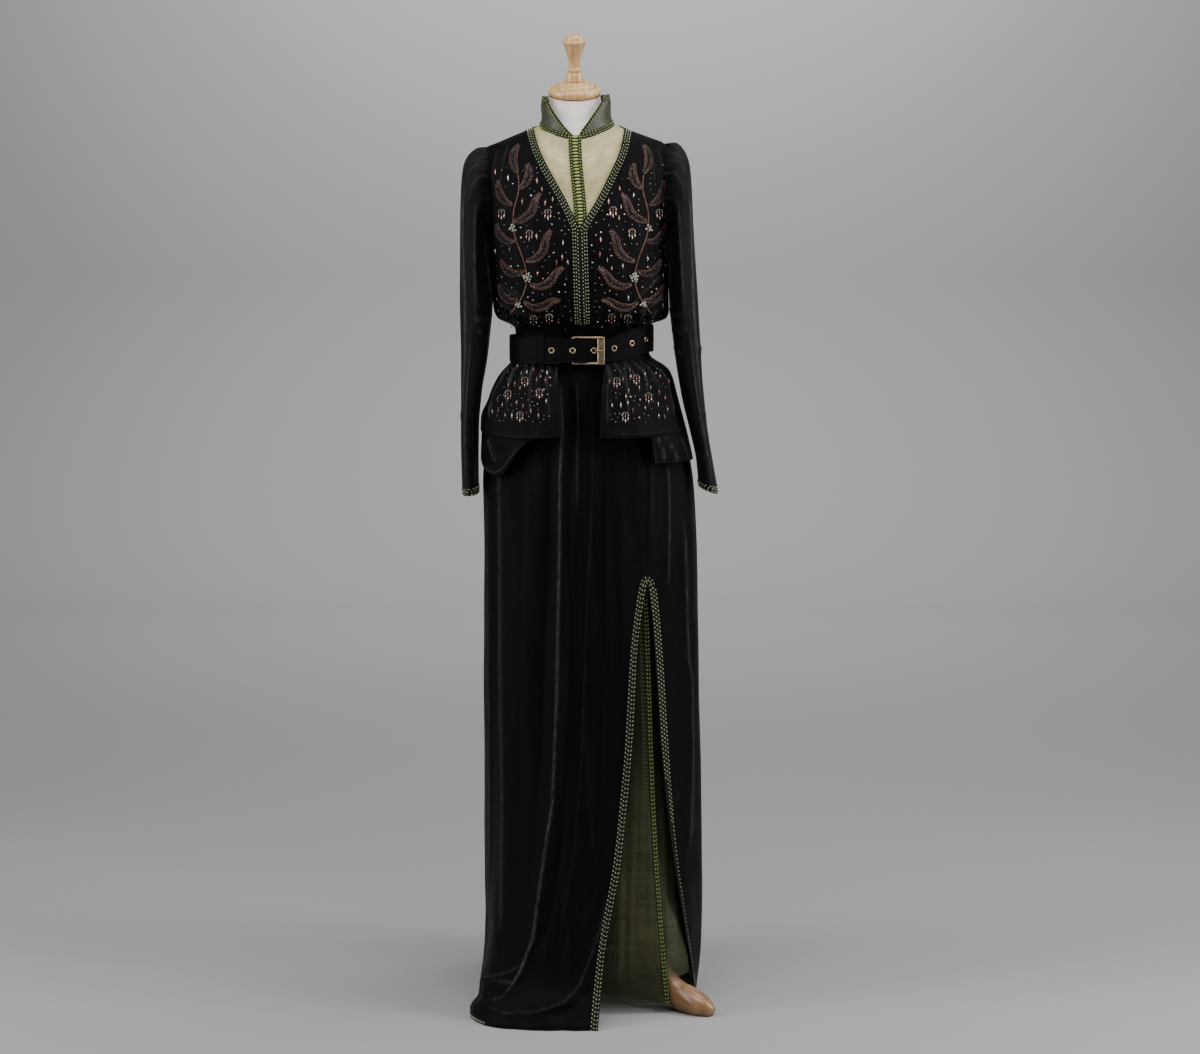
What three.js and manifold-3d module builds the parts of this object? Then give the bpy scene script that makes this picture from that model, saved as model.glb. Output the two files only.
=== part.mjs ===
// A velvet kaftan over a sheer organza underdress, on a limbless dress form with a wooden stand.
// Millimetres, +Z up, the wearer's front faces -Y, and -X is the left side as seen from the front.
import * as THREE from 'three';
import { mergeVertices } from 'three/addons/utils/BufferGeometryUtils.js';
import Module from 'manifold-3d';

const wasm = await Module();
wasm.setup();

// ---------- cloth, braid and gaps ----------
const VELVET = 1.6;
const ORGANZA = 1.0;
const BRAID = 1.5;
const BRAID_WIDTH = 13;
const LAYER_GAP = 0.3;
const SEAM = 0.3;
const RAD = Math.PI / 180;

// ---------- heights of the garment ----------
const NECK_BACK = 1482;
const V_POINT = 1313;
const UNDERARM = 1292;
const WAIST = 1111;
const PEPLUM_HEM = 971;
const SLIT_TOP = 739;
const HEM = 5;

// ---------- section tables: a row for each height, columns are the cloth's extreme x and y ----------
const BODICE = [
  { z: 1484, left: -64, right: 69, front: -78, back: 38, midY: -20, square: 2.2 },
  { z: 1478, left: -74, right: 79, front: -80, back: 40, midY: -20, square: 2.2 },
  { z: 1470, left: -93, right: 100, front: -83, back: 42, midY: -20, square: 2.2 },
  { z: 1462, left: -112, right: 122, front: -86, back: 45, midY: -20, square: 2.25 },
  { z: 1454, left: -131, right: 143, front: -90, back: 48, midY: -20, square: 2.3 },
  { z: 1446, left: -149, right: 151, front: -93, back: 52, midY: -20, square: 2.3 },
  { z: 1435, left: -153, right: 154, front: -98, back: 56, midY: -20, square: 2.35 },
  { z: 1400, left: -154, right: 155, front: -112, back: 64, midY: -20, square: 2.4 },
  { z: 1350, left: -152, right: 154, front: -128, back: 74, midY: -20, square: 2.3 },
  { z: 1300, left: -149, right: 153, front: -141, back: 80, midY: -20, square: 2.2 },
  { z: 1260, left: -146, right: 153, front: -146, back: 80, midY: -20, square: 2.15 },
  { z: 1209, left: -142, right: 153, front: -143, back: 76, midY: -20, square: 2.2 },
  { z: 1175, left: -138, right: 154, front: -134, back: 74, midY: -20, square: 2.25 },
  { z: 1163, left: -132, right: 150, front: -127, back: 71, midY: -20, square: 2.25 },
  { z: 1152, left: -110, right: 122.5, front: -113, back: 64, midY: -20, square: 2.25 },
  { z: 1146, left: -103, right: 118.5, front: -107, back: 61, midY: -20, square: 2.25 },
  { z: 1111, left: -100, right: 116, front: -103, back: 58, midY: -20, square: 2.25 },
];
const SKIRT = [
  { z: 1111, left: -100, right: 116, front: -103, back: 58, midY: -20, square: 2.25 },
  { z: 1086, left: -102.8, right: 119.5, front: -104.4, back: 60.5, midY: -20, square: 2.25 },
  { z: 1060, left: -113, right: 133, front: -108, back: 68, midY: -20, square: 2.2 },
  { z: 1000, left: -136, right: 165, front: -116, back: 86, midY: -18, square: 2.2 },
  { z: 940, left: -153, right: 187, front: -123, back: 101, midY: -16, square: 2.25 },
  { z: 880, left: -158, right: 196, front: -128, back: 110, midY: -15, square: 2.3 },
  { z: 739, left: -157, right: 203, front: -134, back: 130, midY: -10, square: 2.3 },
  { z: 500, left: -158, right: 208, front: -147, back: 166, midY: 0, square: 2.3 },
  { z: 340, left: -159, right: 211, front: -163, back: 203, midY: 8, square: 2.25 },
  { z: 200, left: -160, right: 212, front: -186, back: 238, midY: 14, square: 2.2 },
  { z: 110, left: -162, right: 210, front: -205, back: 262, midY: 18, square: 2.25 },
  { z: 60, left: -166, right: 207, front: -219, back: 276, midY: 22, square: 2.5 },
  { z: 40, left: -176, right: 205, front: -229, back: 284, midY: 25, square: 3.5 },
  { z: 20, left: -181, right: 203, front: -239, back: 292, midY: 25, square: 3.9 },
  { z: 5, left: -184, right: 202, front: -249, back: 298, midY: 25, square: 4.0 },
];
const PEPLUM = [
  { z: 1111, left: -107.6, right: 123.4, front: -110.4, back: 65.8, midY: -20, square: 2.25 },
  { z: 1104, left: -107.6, right: 123.8, front: -110.4, back: 65.8, midY: -20, square: 2.25 },
  { z: 1099, left: -108, right: 125, front: -110.6, back: 66.4, midY: -20, square: 2.25 },
  { z: 1089.5, left: -109.2, right: 140, front: -111.2, back: 67.6, midY: -20, square: 2.25 },
  { z: 1083, left: -125, right: 153, front: -114, back: 71, midY: -20, square: 2.2 },
  { z: 1075, left: -136, right: 161, front: -119, back: 76, midY: -20, square: 2.2 },
  { z: 1055, left: -144.5, right: 167, front: -127, back: 86, midY: -19, square: 2.15 },
  { z: 1031, left: -153, right: 173, front: -136, back: 100, midY: -18, square: 2.15 },
  { z: 995, left: -162, right: 182, front: -146, back: 112, midY: -16, square: 2.2 },
  { z: 965, left: -163, right: 190, front: -151, back: 119, midY: -15, square: 2.2 },
  { z: 925, left: -164, right: 199, front: -150, back: 126, midY: -15, square: 2.25 },
  { z: 890, left: -164, right: 204, front: -148, back: 130, midY: -15, square: 2.25 },
];
const UNDERSKIRT = [
  { z: 1111, left: -98, right: 114, front: -101, back: 56, midY: -20, square: 2.25 },
  { z: 1086, left: -100, right: 116, front: -101.8, back: 57.5, midY: -20, square: 2.25 },
  { z: 1060, left: -109, right: 129, front: -104, back: 62, midY: -20, square: 2.2 },
  { z: 1000, left: -130, right: 158, front: -111, back: 80, midY: -18, square: 2.2 },
  { z: 940, left: -146, right: 179, front: -117, back: 94, midY: -16, square: 2.25 },
  { z: 880, left: -151, right: 187, front: -121, back: 102, midY: -15, square: 2.3 },
  { z: 739, left: -150, right: 194, front: -125, back: 118, midY: -12, square: 2.3 },
  { z: 500, left: -150, right: 198, front: -132, back: 130, midY: -8, square: 2.4 },
  { z: 200, left: -150, right: 200, front: -142, back: 150, midY: -4, square: 2.8 },
  { z: 120, left: -150, right: 200, front: -147, back: 155, midY: -3, square: 3.6 },
  { z: 60, left: -150, right: 199, front: -152, back: 158, midY: -2, square: 4.6 },
  { z: 12, left: -150, right: 198, front: -152, back: 160, midY: -2, square: 4.6 },
];
const FORM = [
  { z: 1533, left: -46, right: 39, front: -61, back: 21, midY: -20, square: 2 },
  { z: 1520, left: -48, right: 41.5, front: -63, back: 23, midY: -20, square: 2 },
  { z: 1506, left: -49, right: 43.5, front: -65, back: 25, midY: -20, square: 2 },
  { z: 1493, left: -50.5, right: 47, front: -67, back: 27, midY: -20, square: 2 },
  { z: 1484.5, left: -53, right: 53, front: -70, back: 29.5, midY: -20, square: 2.1 },
  { z: 1477.5, left: -60, right: 65, front: -74, back: 33, midY: -20, square: 2.2 },
  { z: 1472, left: -70, right: 75, front: -76.4, back: 35.4, midY: -20, square: 2.2 },
  { z: 1468.2, left: -89, right: 96, front: -79.4, back: 38.4, midY: -20, square: 2.2 },
  { z: 1460.2, left: -107, right: 117, front: -82.4, back: 41.4, midY: -20, square: 2.25 },
  { z: 1452.2, left: -126, right: 137, front: -86.4, back: 44.4, midY: -20, square: 2.3 },
  { z: 1440, left: -141, right: 143, front: -90, back: 48, midY: -20, square: 2.3 },
  { z: 1428, left: -145, right: 146, front: -96, back: 53, midY: -20, square: 2.35 },
  { z: 1400, left: -146, right: 147, front: -108.2, back: 60.2, midY: -20, square: 2.4 },
  { z: 1350, left: -143, right: 146, front: -124.2, back: 70.2, midY: -20, square: 2.3 },
  { z: 1300, left: -139, right: 146, front: -136.6, back: 76, midY: -20, square: 2.2 },
  { z: 1260, left: -133, right: 142, front: -138, back: 72, midY: -20, square: 2.15 },
  { z: 1200, left: -116, right: 130, front: -119, back: 62, midY: -20, square: 2.15 },
  { z: 1150, left: -98, right: 112, front: -101, back: 54, midY: -20, square: 2.2 },
  { z: 1111, left: -92, right: 106, front: -93, back: 49, midY: -20, square: 2.25 },
  { z: 1086, left: -94, right: 108.5, front: -93, back: 50, midY: -20, square: 2.25 },
  { z: 1060, left: -100, right: 119, front: -95, back: 54, midY: -20, square: 2.2 },
  { z: 1000, left: -121, right: 148, front: -104, back: 73, midY: -18, square: 2.2 },
  { z: 940, left: -137, right: 168, front: -110, back: 87, midY: -16, square: 2.2 },
  { z: 880, left: -142, right: 175, front: -113, back: 94, midY: -15, square: 2.2 },
  { z: 815, left: -137, right: 170, front: -107, back: 87, midY: -14, square: 2.2 },
  { z: 800, left: -127, right: 160, front: -97, back: 77, midY: -14, square: 2.2 },
];
// how far round from the centre line each armhole edge lies, as a share of the half width
const ARMHOLE = [
  { z: 1484, share: 1 },
  { z: 1448, share: 1 },
  { z: 1436, share: 0.965 },
  { z: 1410, share: 0.945 },
  { z: 1370, share: 0.94 },
  { z: 1330, share: 0.95 },
  { z: 1305, share: 0.975 },
  { z: 1292, share: 1 },
  { z: 1100, share: 1 },
];
// x of the V neck's two edges, which meet on the centre-front line
const V_NECK = [
  { z: 1478, left: -72, right: 80 },
  { z: 1441, left: -60, right: 72 },
  { z: 1404, left: -42, right: 56 },
  { z: 1360, left: -17, right: 34 },
  { z: 1313, left: 5.3, right: 5.8 },
];
// x of the front seam and, below the slit's top, of the slit's two edges
const SLIT = [
  { z: 1111, left: 66, right: 66 },
  { z: 1000, left: 106, right: 106 },
  { z: 900, left: 120, right: 120 },
  { z: 739, left: 117, right: 117 },
  { z: 715, left: 113, right: 122 },
  { z: 597, left: 99, right: 135 },
  { z: 449, left: 91, right: 150 },
  { z: 269, left: 75, right: 167 },
  { z: 121, left: 49, right: 186 },
  { z: 60, left: 42, right: 195 },
  { z: 5, left: 36, right: 201 },
];
// x of the underskirt's lapped front edges
const UNDER_EDGE = [
  { z: 1111, left: 60, right: 50 },
  { z: 693, left: 119, right: 104 },
  { z: 443, left: 128, right: 111 },
  { z: 254, left: 137, right: 118 },
  { z: 114, left: 148, right: 128 },
  { z: 12, left: 157, right: 137 },
];
// x of the beaded peplum fronts' inner edges
const PEPLUM_EDGE = [
  { z: 1111, left: -34, right: 48 },
  { z: 1078, left: -31, right: 46 },
  { z: 1031, left: -27, right: 41 },
  { z: 960, left: -24, right: 39 },
];
// sleeves: the ring's outer and inner point in x and z, and half its depth in y
const SLEEVE_LEFT = [
  { outX: -162, outZ: 1446, inX: -152.5, inZ: 1294, depth: 52, midY: -20 },
  { outX: -178, outZ: 1436, inX: -153.5, inZ: 1292, depth: 59, midY: -20 },
  { outX: -189, outZ: 1414, inX: -154, inZ: 1289, depth: 64, midY: -20 },
  { outX: -193, outZ: 1378, inX: -154, inZ: 1284, depth: 66, midY: -21 },
  { outX: -194, outZ: 1325, inX: -153, inZ: 1270, depth: 67, midY: -21 },
  { outX: -194, outZ: 1255, inX: -151, inZ: 1240, depth: 66, midY: -22 },
  { outX: -194, outZ: 1190, inX: -146, inZ: 1185, depth: 64, midY: -23 },
  { outX: -193, outZ: 1110, inX: -149, inZ: 1108, depth: 61, midY: -24 },
  { outX: -194, outZ: 1040, inX: -160, inZ: 1040, depth: 58, midY: -25 },
  { outX: -194, outZ: 975, inX: -166, inZ: 978, depth: 54, midY: -26 },
  { outX: -193, outZ: 915, inX: -167, inZ: 918, depth: 50, midY: -27 },
  { outX: -192, outZ: 878, inX: -167, inZ: 882, depth: 48, midY: -28 },
  { outX: -191, outZ: 866, inX: -167, inZ: 868, depth: 48, midY: -28 },
];
const SLEEVE_RIGHT = [
  { outX: 164, outZ: 1454, inX: 156.5, inZ: 1294, depth: 52, midY: -20 },
  { outX: 180, outZ: 1440, inX: 157.5, inZ: 1292, depth: 59, midY: -20 },
  { outX: 189, outZ: 1413, inX: 158, inZ: 1289, depth: 64, midY: -20 },
  { outX: 192, outZ: 1378, inX: 158, inZ: 1284, depth: 66, midY: -21 },
  { outX: 194, outZ: 1320, inX: 158, inZ: 1270, depth: 67, midY: -21 },
  { outX: 198, outZ: 1250, inX: 158, inZ: 1238, depth: 66, midY: -22 },
  { outX: 202, outZ: 1185, inX: 159, inZ: 1178, depth: 64, midY: -23 },
  { outX: 207, outZ: 1108, inX: 164.5, inZ: 1108, depth: 61, midY: -24 },
  { outX: 213, outZ: 1035, inX: 176, inZ: 1036, depth: 58, midY: -25 },
  { outX: 219, outZ: 975, inX: 190, inZ: 980, depth: 54, midY: -26 },
  { outX: 228, outZ: 920, inX: 202, inZ: 928, depth: 50, midY: -27 },
  { outX: 235, outZ: 882, inX: 206, inZ: 892, depth: 48, midY: -28 },
  { outX: 237, outZ: 868, inX: 207, inZ: 880, depth: 48, midY: -28 },
];
// soft pleats of the skirt: where each ridge lies at the hip and at the hem, its height and half width
const SKIRT_FOLDS = [
  { top: -100, hem: -118, height: 7, spread: 9 },
  { top: -84, hem: -86, height: -5, spread: 8 },
  { top: -72, hem: -64, height: 5, spread: 7 },
  { top: -128, hem: -136, height: 5, spread: 10 },
  { top: -152, hem: -158, height: -4, spread: 9 },
  { top: -22, hem: -14, height: 4, spread: 8 },
  { top: 22, hem: 26, height: 6, spread: 10 },
  { top: 48, hem: 50, height: -7, spread: 10 },
  { top: 72, hem: 72, height: 8, spread: 10 },
  { top: 96, hem: 98, height: -6, spread: 10 },
  { top: 120, hem: 122, height: 8, spread: 10 },
  { top: 146, hem: 144, height: -6, spread: 10 },
];
const PEPLUM_FOLDS = [
  { top: -158, hem: -160, height: 4, spread: 9 },
  { top: -122, hem: -126, height: -4, spread: 8 },
  { top: -100, hem: -102, height: 3, spread: 8 },
  { top: -58, hem: -52, height: 4, spread: 8 },
  { top: -30, hem: -26, height: 6, spread: 6 },
  { top: 18, hem: 20, height: 6, spread: 9 },
  { top: 46, hem: 48, height: -5, spread: 9 },
  { top: 74, hem: 76, height: 7, spread: 9 },
  { top: 104, hem: 106, height: -5, spread: 9 },
  { top: 132, hem: 134, height: 6, spread: 9 },
];

// ---------- stand, cap and belt ----------
const STAND = { x: 30, y: -18, poleRadius: 16, poleTop: 799.6, hubRadius: 30, hubLow: 205, hubHigh: 292 };
const LEG_TURN = [-36.1, 94, -138.5];
const LEG_PATH = [
  { out: 30.35, z: 250, half: 16, wide: 16 },
  { out: 54, z: 208, half: 16, wide: 16 },
  { out: 80, z: 158, half: 16, wide: 16 },
  { out: 116, z: 98, half: 16, wide: 16 },
  { out: 152, z: 50, half: 17, wide: 17 },
  { out: 186, z: 23, half: 25, wide: 20 },
  { out: 214, z: 17, half: 21, wide: 21 },
  { out: 233, z: 11, half: 15, wide: 16 },
  { out: 244, z: 7, half: 9, wide: 8 },
];
const NECK_TOP = 1533;
const NECK_LEAN_HEIGHT = 46;
const CAP = { x: -3.5, y: -20, z: 1528, tilt: 15 };
const BELT = { height: 44, thick: 3, inner: 11.9, outer: 15.3, z: 1112, rise: 17, pinch: 5.8 };
const BUCKLE = { leftX: -6, rightX: 40, frameHigh: 46, bar: 3.2, wideBar: 12, thick: 2.4 };
const KEEPER = { x: -59, width: 14, wall: 1, gap: 0.4 };
const EYELET = { outer: 5.2, inner: 3, thick: 0.9, spacing: 35, prongX: 28.8 };

// ---------- reading the tables ----------
function slope(before, here, after, key, column) {
  const first = (here[column] - before[column]) / (here[key] - before[key]);
  const second = (after[column] - here[column]) / (after[key] - here[key]);
  return first * second <= 0 ? 0 : (2 * first * second) / (first + second);
}

// Reads every column of a table at one height, smoothly and with no overshoot between its rows.
function rowAt(table, at, key = 'z') {
  const last = table.length - 1;
  const sign = table[0][key] > table[last][key] ? -1 : 1;
  let low = 0;
  while (low < last - 1 && sign * (at - table[low + 1][key]) > 0) low += 1;
  const a = table[low];
  const b = table[low + 1];
  const span = b[key] - a[key];
  const t = Math.min(1, Math.max(0, (at - a[key]) / span));
  const row = {};
  for (const column of Object.keys(a)) {
    const flat = (b[column] - a[column]) / span;
    const start = low > 0 ? slope(table[low - 1], a, b, key, column) : flat;
    const end = low < last - 1 ? slope(a, b, table[low + 2], key, column) : flat;
    const t2 = t * t;
    const t3 = t2 * t;
    row[column] = (2 * t3 - 3 * t2 + 1) * a[column] + (t3 - 2 * t2 + t) * span * start
      + (3 * t2 - 2 * t3) * b[column] + (t3 - t2) * span * end;
  }
  row[key] = at;
  return row;
}

const mix = (a, b, t) => a + (b - a) * t;
const smooth = (low, high, value) => {
  const t = Math.min(1, Math.max(0, (value - low) / (high - low)));
  return t * t * (3 - 2 * t);
};

// ---------- horizontal sections ----------
function halves(ring, c, s) {
  const midX = (ring.left + ring.right) / 2;
  return {
    midX,
    x: c < 0 ? midX - ring.left : ring.right - midX,
    y: s < 0 ? ring.midY - ring.front : ring.back - ring.midY,
  };
}

function ringPoint(ring, angle, out = 0) {
  const c = Math.cos(angle);
  const s = Math.sin(angle);
  const half = halves(ring, c, s);
  const sum = (Math.abs(c) / half.x) ** ring.square + (Math.abs(s) / half.y) ** ring.square;
  const radius = sum ** (-1 / ring.square) + out;
  return new THREE.Vector3(half.midX + radius * c, ring.midY + radius * s, ring.z);
}

// The angle at which a section's front or back passes a given x.
function angleAtX(ring, x, face = -1) {
  const half = halves(ring, x - (ring.left + ring.right) / 2, face);
  const share = Math.min(1, Math.abs(x - half.midX) / half.x);
  const dy = half.y * (1 - share ** ring.square) ** (1 / ring.square);
  return Math.atan2(face * dy, x - half.midX);
}

function foldHeight(folds, angle, down) {
  let height = 0;
  for (const fold of folds) {
    const centre = mix(fold.top, fold.hem, down) * RAD;
    const away = Math.atan2(Math.sin(angle - centre), Math.cos(angle - centre)) / (fold.spread * RAD);
    height += fold.height * Math.exp(-away * away);
  }
  return height;
}

// ---------- cloth surfaces: each gives a point for an angle and a height ----------
const bodice = (angle, z) => ringPoint(rowAt(BODICE, z), angle);
function skirt(angle, z) {
  const down = smooth(WAIST, 120, z);
  const folded = foldHeight(SKIRT_FOLDS, angle, down) * smooth(1000, 700, z) * smooth(HEM, 90, z);
  return ringPoint(rowAt(SKIRT, z), angle, folded);
}
function underskirt(angle, z) {
  return ringPoint(rowAt(UNDERSKIRT, z), angle);
}
function peplum(angle, z) {
  const folded = foldHeight(PEPLUM_FOLDS, angle, 0.5) * smooth(1070, 980, z);
  return ringPoint(rowAt(PEPLUM, z), angle, folded * 0.6);
}

// ---------- grids and walls ----------
function normalAt(surface, angle, z, low, high) {
  const turn = 0.004;
  const drop = 0.6;
  const across = surface(angle + turn, z).sub(surface(angle - turn, z));
  const along = surface(angle, Math.min(high, z + drop)).sub(surface(angle, Math.max(low, z - drop)));
  return across.cross(along).normalize();
}

// A grid holds rows of { point, normal }. place(i, j) gives the angle and height of one crossing.
function surfaceGrid(surface, rows, columns, place, low = HEM, high = NECK_BACK) {
  const grid = [];
  for (let i = 0; i <= rows; i += 1) {
    const row = [];
    for (let j = 0; j <= columns; j += 1) {
      const { angle, z } = place(i, j);
      row.push({ point: surface(angle, z), normal: normalAt(surface, angle, z, low, high) });
    }
    grid.push(row);
  }
  return grid;
}

// A grid of bare points gets its normals from its neighbours. wrap joins the last column to the first.
function pointGrid(points, wrap) {
  const rows = points.length;
  const columns = points[0].length;
  return points.map((row, i) => row.map((point, j) => {
    const before = wrap ? (j + columns - 1) % columns : Math.max(0, j - 1);
    const after = wrap ? (j + 1) % columns : Math.min(columns - 1, j + 1);
    const across = row[after].clone().sub(row[before]);
    const along = points[Math.min(rows - 1, i + 1)][j].clone().sub(points[Math.max(0, i - 1)][j]);
    return { point, normal: across.cross(along).normalize() };
  }));
}

const part = (grid, firstRow, lastRow, firstColumn, lastColumn) => (
  grid.slice(firstRow, lastRow + 1).map((row) => row.slice(firstColumn, lastColumn + 1)));

function signedVolume(positions, faces) {
  let sum = 0;
  const at = (k) => new THREE.Vector3().fromArray(positions, 3 * k);
  for (let f = 0; f < faces.length; f += 3) {
    sum += at(faces[f]).dot(at(faces[f + 1]).cross(at(faces[f + 2])));
  }
  return sum;
}

function closedGeometry(positions, faces) {
  const turned = signedVolume(positions, faces) < 0;
  const index = [];
  for (let f = 0; f < faces.length; f += 3) {
    index.push(faces[f], turned ? faces[f + 2] : faces[f + 1], turned ? faces[f + 1] : faces[f + 2]);
  }
  const geometry = new THREE.BufferGeometry();
  geometry.setAttribute('position', new THREE.Float32BufferAttribute(positions, 3));
  geometry.setIndex(index);
  return geometry;
}

// A closed wall of cloth between two offsets from a grid.
function wall(grid, near, far, wrap = false) {
  const rows = grid.length;
  const columns = grid[0].length;
  const positions = [];
  for (const offset of [near, far]) {
    for (const row of grid) {
      for (const { point, normal } of row) positions.push(...point.clone().addScaledVector(normal, offset).toArray());
    }
  }
  const faces = [];
  const at = (side, i, j) => side * rows * columns + i * columns + (j % columns);
  const quad = (a, b, c, d) => faces.push(a, b, c, a, c, d);
  const lastColumn = wrap ? columns : columns - 1;
  for (let i = 0; i < rows - 1; i += 1) {
    for (let j = 0; j < lastColumn; j += 1) {
      quad(at(1, i, j), at(1, i, j + 1), at(1, i + 1, j + 1), at(1, i + 1, j));
      faces.push(at(0, i, j), at(0, i + 1, j + 1), at(0, i, j + 1));
      faces.push(at(0, i, j), at(0, i + 1, j), at(0, i + 1, j + 1));
    }
  }
  for (let j = 0; j < lastColumn; j += 1) {
    quad(at(0, 0, j), at(0, 0, j + 1), at(1, 0, j + 1), at(1, 0, j));
    quad(at(1, rows - 1, j), at(1, rows - 1, j + 1), at(0, rows - 1, j + 1), at(0, rows - 1, j));
  }
  if (!wrap) {
    for (let i = 0; i < rows - 1; i += 1) {
      quad(at(1, i, 0), at(1, i + 1, 0), at(0, i + 1, 0), at(0, i, 0));
      quad(at(0, i, columns - 1), at(0, i + 1, columns - 1), at(1, i + 1, columns - 1), at(1, i, columns - 1));
    }
  }
  return closedGeometry(positions, faces);
}

const cloth = (grid, thickness, wrap = false) => wall(grid, -thickness / 2, thickness / 2, wrap);
const overlay = (grid, base, wrap = false) => (
  wall(grid, base / 2 + LAYER_GAP, base / 2 + LAYER_GAP + BRAID, wrap));

// ---------- materials ----------
const finish = (color, roughness, metalness = 0) => (
  () => new THREE.MeshStandardMaterial({ color, roughness, metalness }));
const velvet = finish(0x0c0b0d, 0.9);
const organza = finish(0x5f6a36, 0.55);
const satin = finish(0x4b502c, 0.45);
const braid = finish(0x8f9c66, 0.6);
const brightBraid = finish(0x87963a, 0.55);
const jersey = finish(0xe1d7d7, 0.85);
const beech = finish(0xd7b482, 0.42);
const metal = finish(0x82705a, 0.35, 0.9);
const strapVelvet = finish(0x121113, 0.85);

const kaftan = new THREE.Group();
function add(name, geometry, material) {
  const mesh = new THREE.Mesh(geometry, material());
  mesh.name = name;
  kaftan.add(mesh);
  return mesh;
}

// ---------- bodice ----------
const centreFront = (z) => 5.5 + (V_POINT - z) * 0.03;
const SIDES = { left: -1, right: 1 };
// the armhole's upper end, and the lowest and a middling height of the shoulder ridge
const ARMHOLE_END = 1446;
const RIDGE_LOW = 1440;
const RIDGE_GUESS = 1465;
const seamTurn = (ring, angle) => SEAM / 2 / ringPoint(ring, angle).distanceTo(
  new THREE.Vector3((ring.left + ring.right) / 2, ring.midY, ring.z));

function innerEdgeX(side, z) {
  const seam = centreFront(z) + SIDES[side] * SEAM / 2;
  if (z < V_POINT) return seam;
  const edge = rowAt(V_NECK, Math.min(z, V_NECK[0].z))[side];
  return side === 'left' ? Math.min(edge, seam) : Math.max(edge, seam);
}

function outerEdgeX(side, z) {
  const ring = rowAt(BODICE, Math.min(z, ARMHOLE_END));
  const midX = (ring.left + ring.right) / 2;
  return midX + (ring[side] - midX) * rowAt(ARMHOLE, z).share;
}

// The height of the shoulder ridge above a given x.
function ridgeHeight(side, x) {
  let low = RIDGE_LOW;
  let high = NECK_BACK;
  for (let step = 0; step < 30; step += 1) {
    const middle = (low + high) / 2;
    if (SIDES[side] * (rowAt(BODICE, middle)[side] - x) > 0) low = middle;
    else high = middle;
  }
  return low;
}

const FRONT_HEIGHTS = [1478, 1475, 1468, 1456, 1438, 1404, 1360, 1313, 1262, 1209, 1175, 1163, 1152, 1145, 1111.4];
const FRONT_COLUMNS = 8;

function frontGrid(side) {
  const top = FRONT_HEIGHTS[0];
  const bottom = FRONT_HEIGHTS[FRONT_HEIGHTS.length - 1];
  const xAt = (z, j) => {
    const inner = innerEdgeX(side, z);
    const pastBraid = inner + SIDES[side] * BRAID_WIDTH;
    if (j === 0) return inner;
    return mix(pastBraid, outerEdgeX(side, z), Math.sin(((j - 1) / (FRONT_COLUMNS - 1)) * Math.PI / 2));
  };
  const place = (i, j) => {
    let ridge = top;
    for (let step = 0; step < 6; step += 1) ridge = Math.min(top, ridgeHeight(side, xAt(ridge, j)));
    const z = mix(ridge, bottom, (top - FRONT_HEIGHTS[i]) / (top - bottom));
    const ring = rowAt(BODICE, z);
    const x = xAt(z, j);
    let angle = i === 0 ? Math.atan2(-1e-9, SIDES[side]) : angleAtX(ring, x);
    const turn = seamTurn(ring, angle);
    if (j === FRONT_COLUMNS || i === 0) {
      angle = side === 'left' ? Math.max(angle, -Math.PI + turn) : Math.min(angle, -turn);
    }
    return { angle, z };
  };
  return surfaceGrid(bodice, FRONT_HEIGHTS.length - 1, FRONT_COLUMNS, place);
}

const BACK_COLUMNS = 11;
function backGrid() {
  const top = NECK_BACK;
  const bottom = FRONT_HEIGHTS[FRONT_HEIGHTS.length - 1];
  const xAt = (z, j) => mix(outerEdgeX('left', z), outerEdgeX('right', z),
    (1 - Math.cos((j / BACK_COLUMNS) * Math.PI)) / 2);
  const place = (i, j) => {
    let ridge = RIDGE_GUESS;
    for (let step = 0; step < 6; step += 1) {
      const x = xAt(ridge, j);
      ridge = Math.min(top, ridgeHeight(x < 0 ? 'left' : 'right', x));
    }
    const z = mix(ridge, bottom, (FRONT_HEIGHTS[0] - FRONT_HEIGHTS[i]) / (FRONT_HEIGHTS[0] - bottom));
    const ring = rowAt(BODICE, z);
    let angle = angleAtX(ring, xAt(z, j), 1);
    const turn = seamTurn(ring, angle);
    angle = Math.min(Math.PI - turn, Math.max(turn, angle));
    return { angle, z };
  };
  return surfaceGrid(bodice, FRONT_HEIGHTS.length - 1, BACK_COLUMNS, place);
}

const fronts = {};
for (const side of ['left', 'right']) {
  const grid = frontGrid(side);
  add(`bodice_front_${side}`, cloth(grid, VELVET), velvet);
  add(`neck_trim_${side}`, overlay(part(grid, 0, grid.length - 4, 0, 1), VELVET), braid);
  fronts[side] = grid;
}
const back = backGrid();
add('bodice_back', cloth(back, VELVET), velvet);

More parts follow.
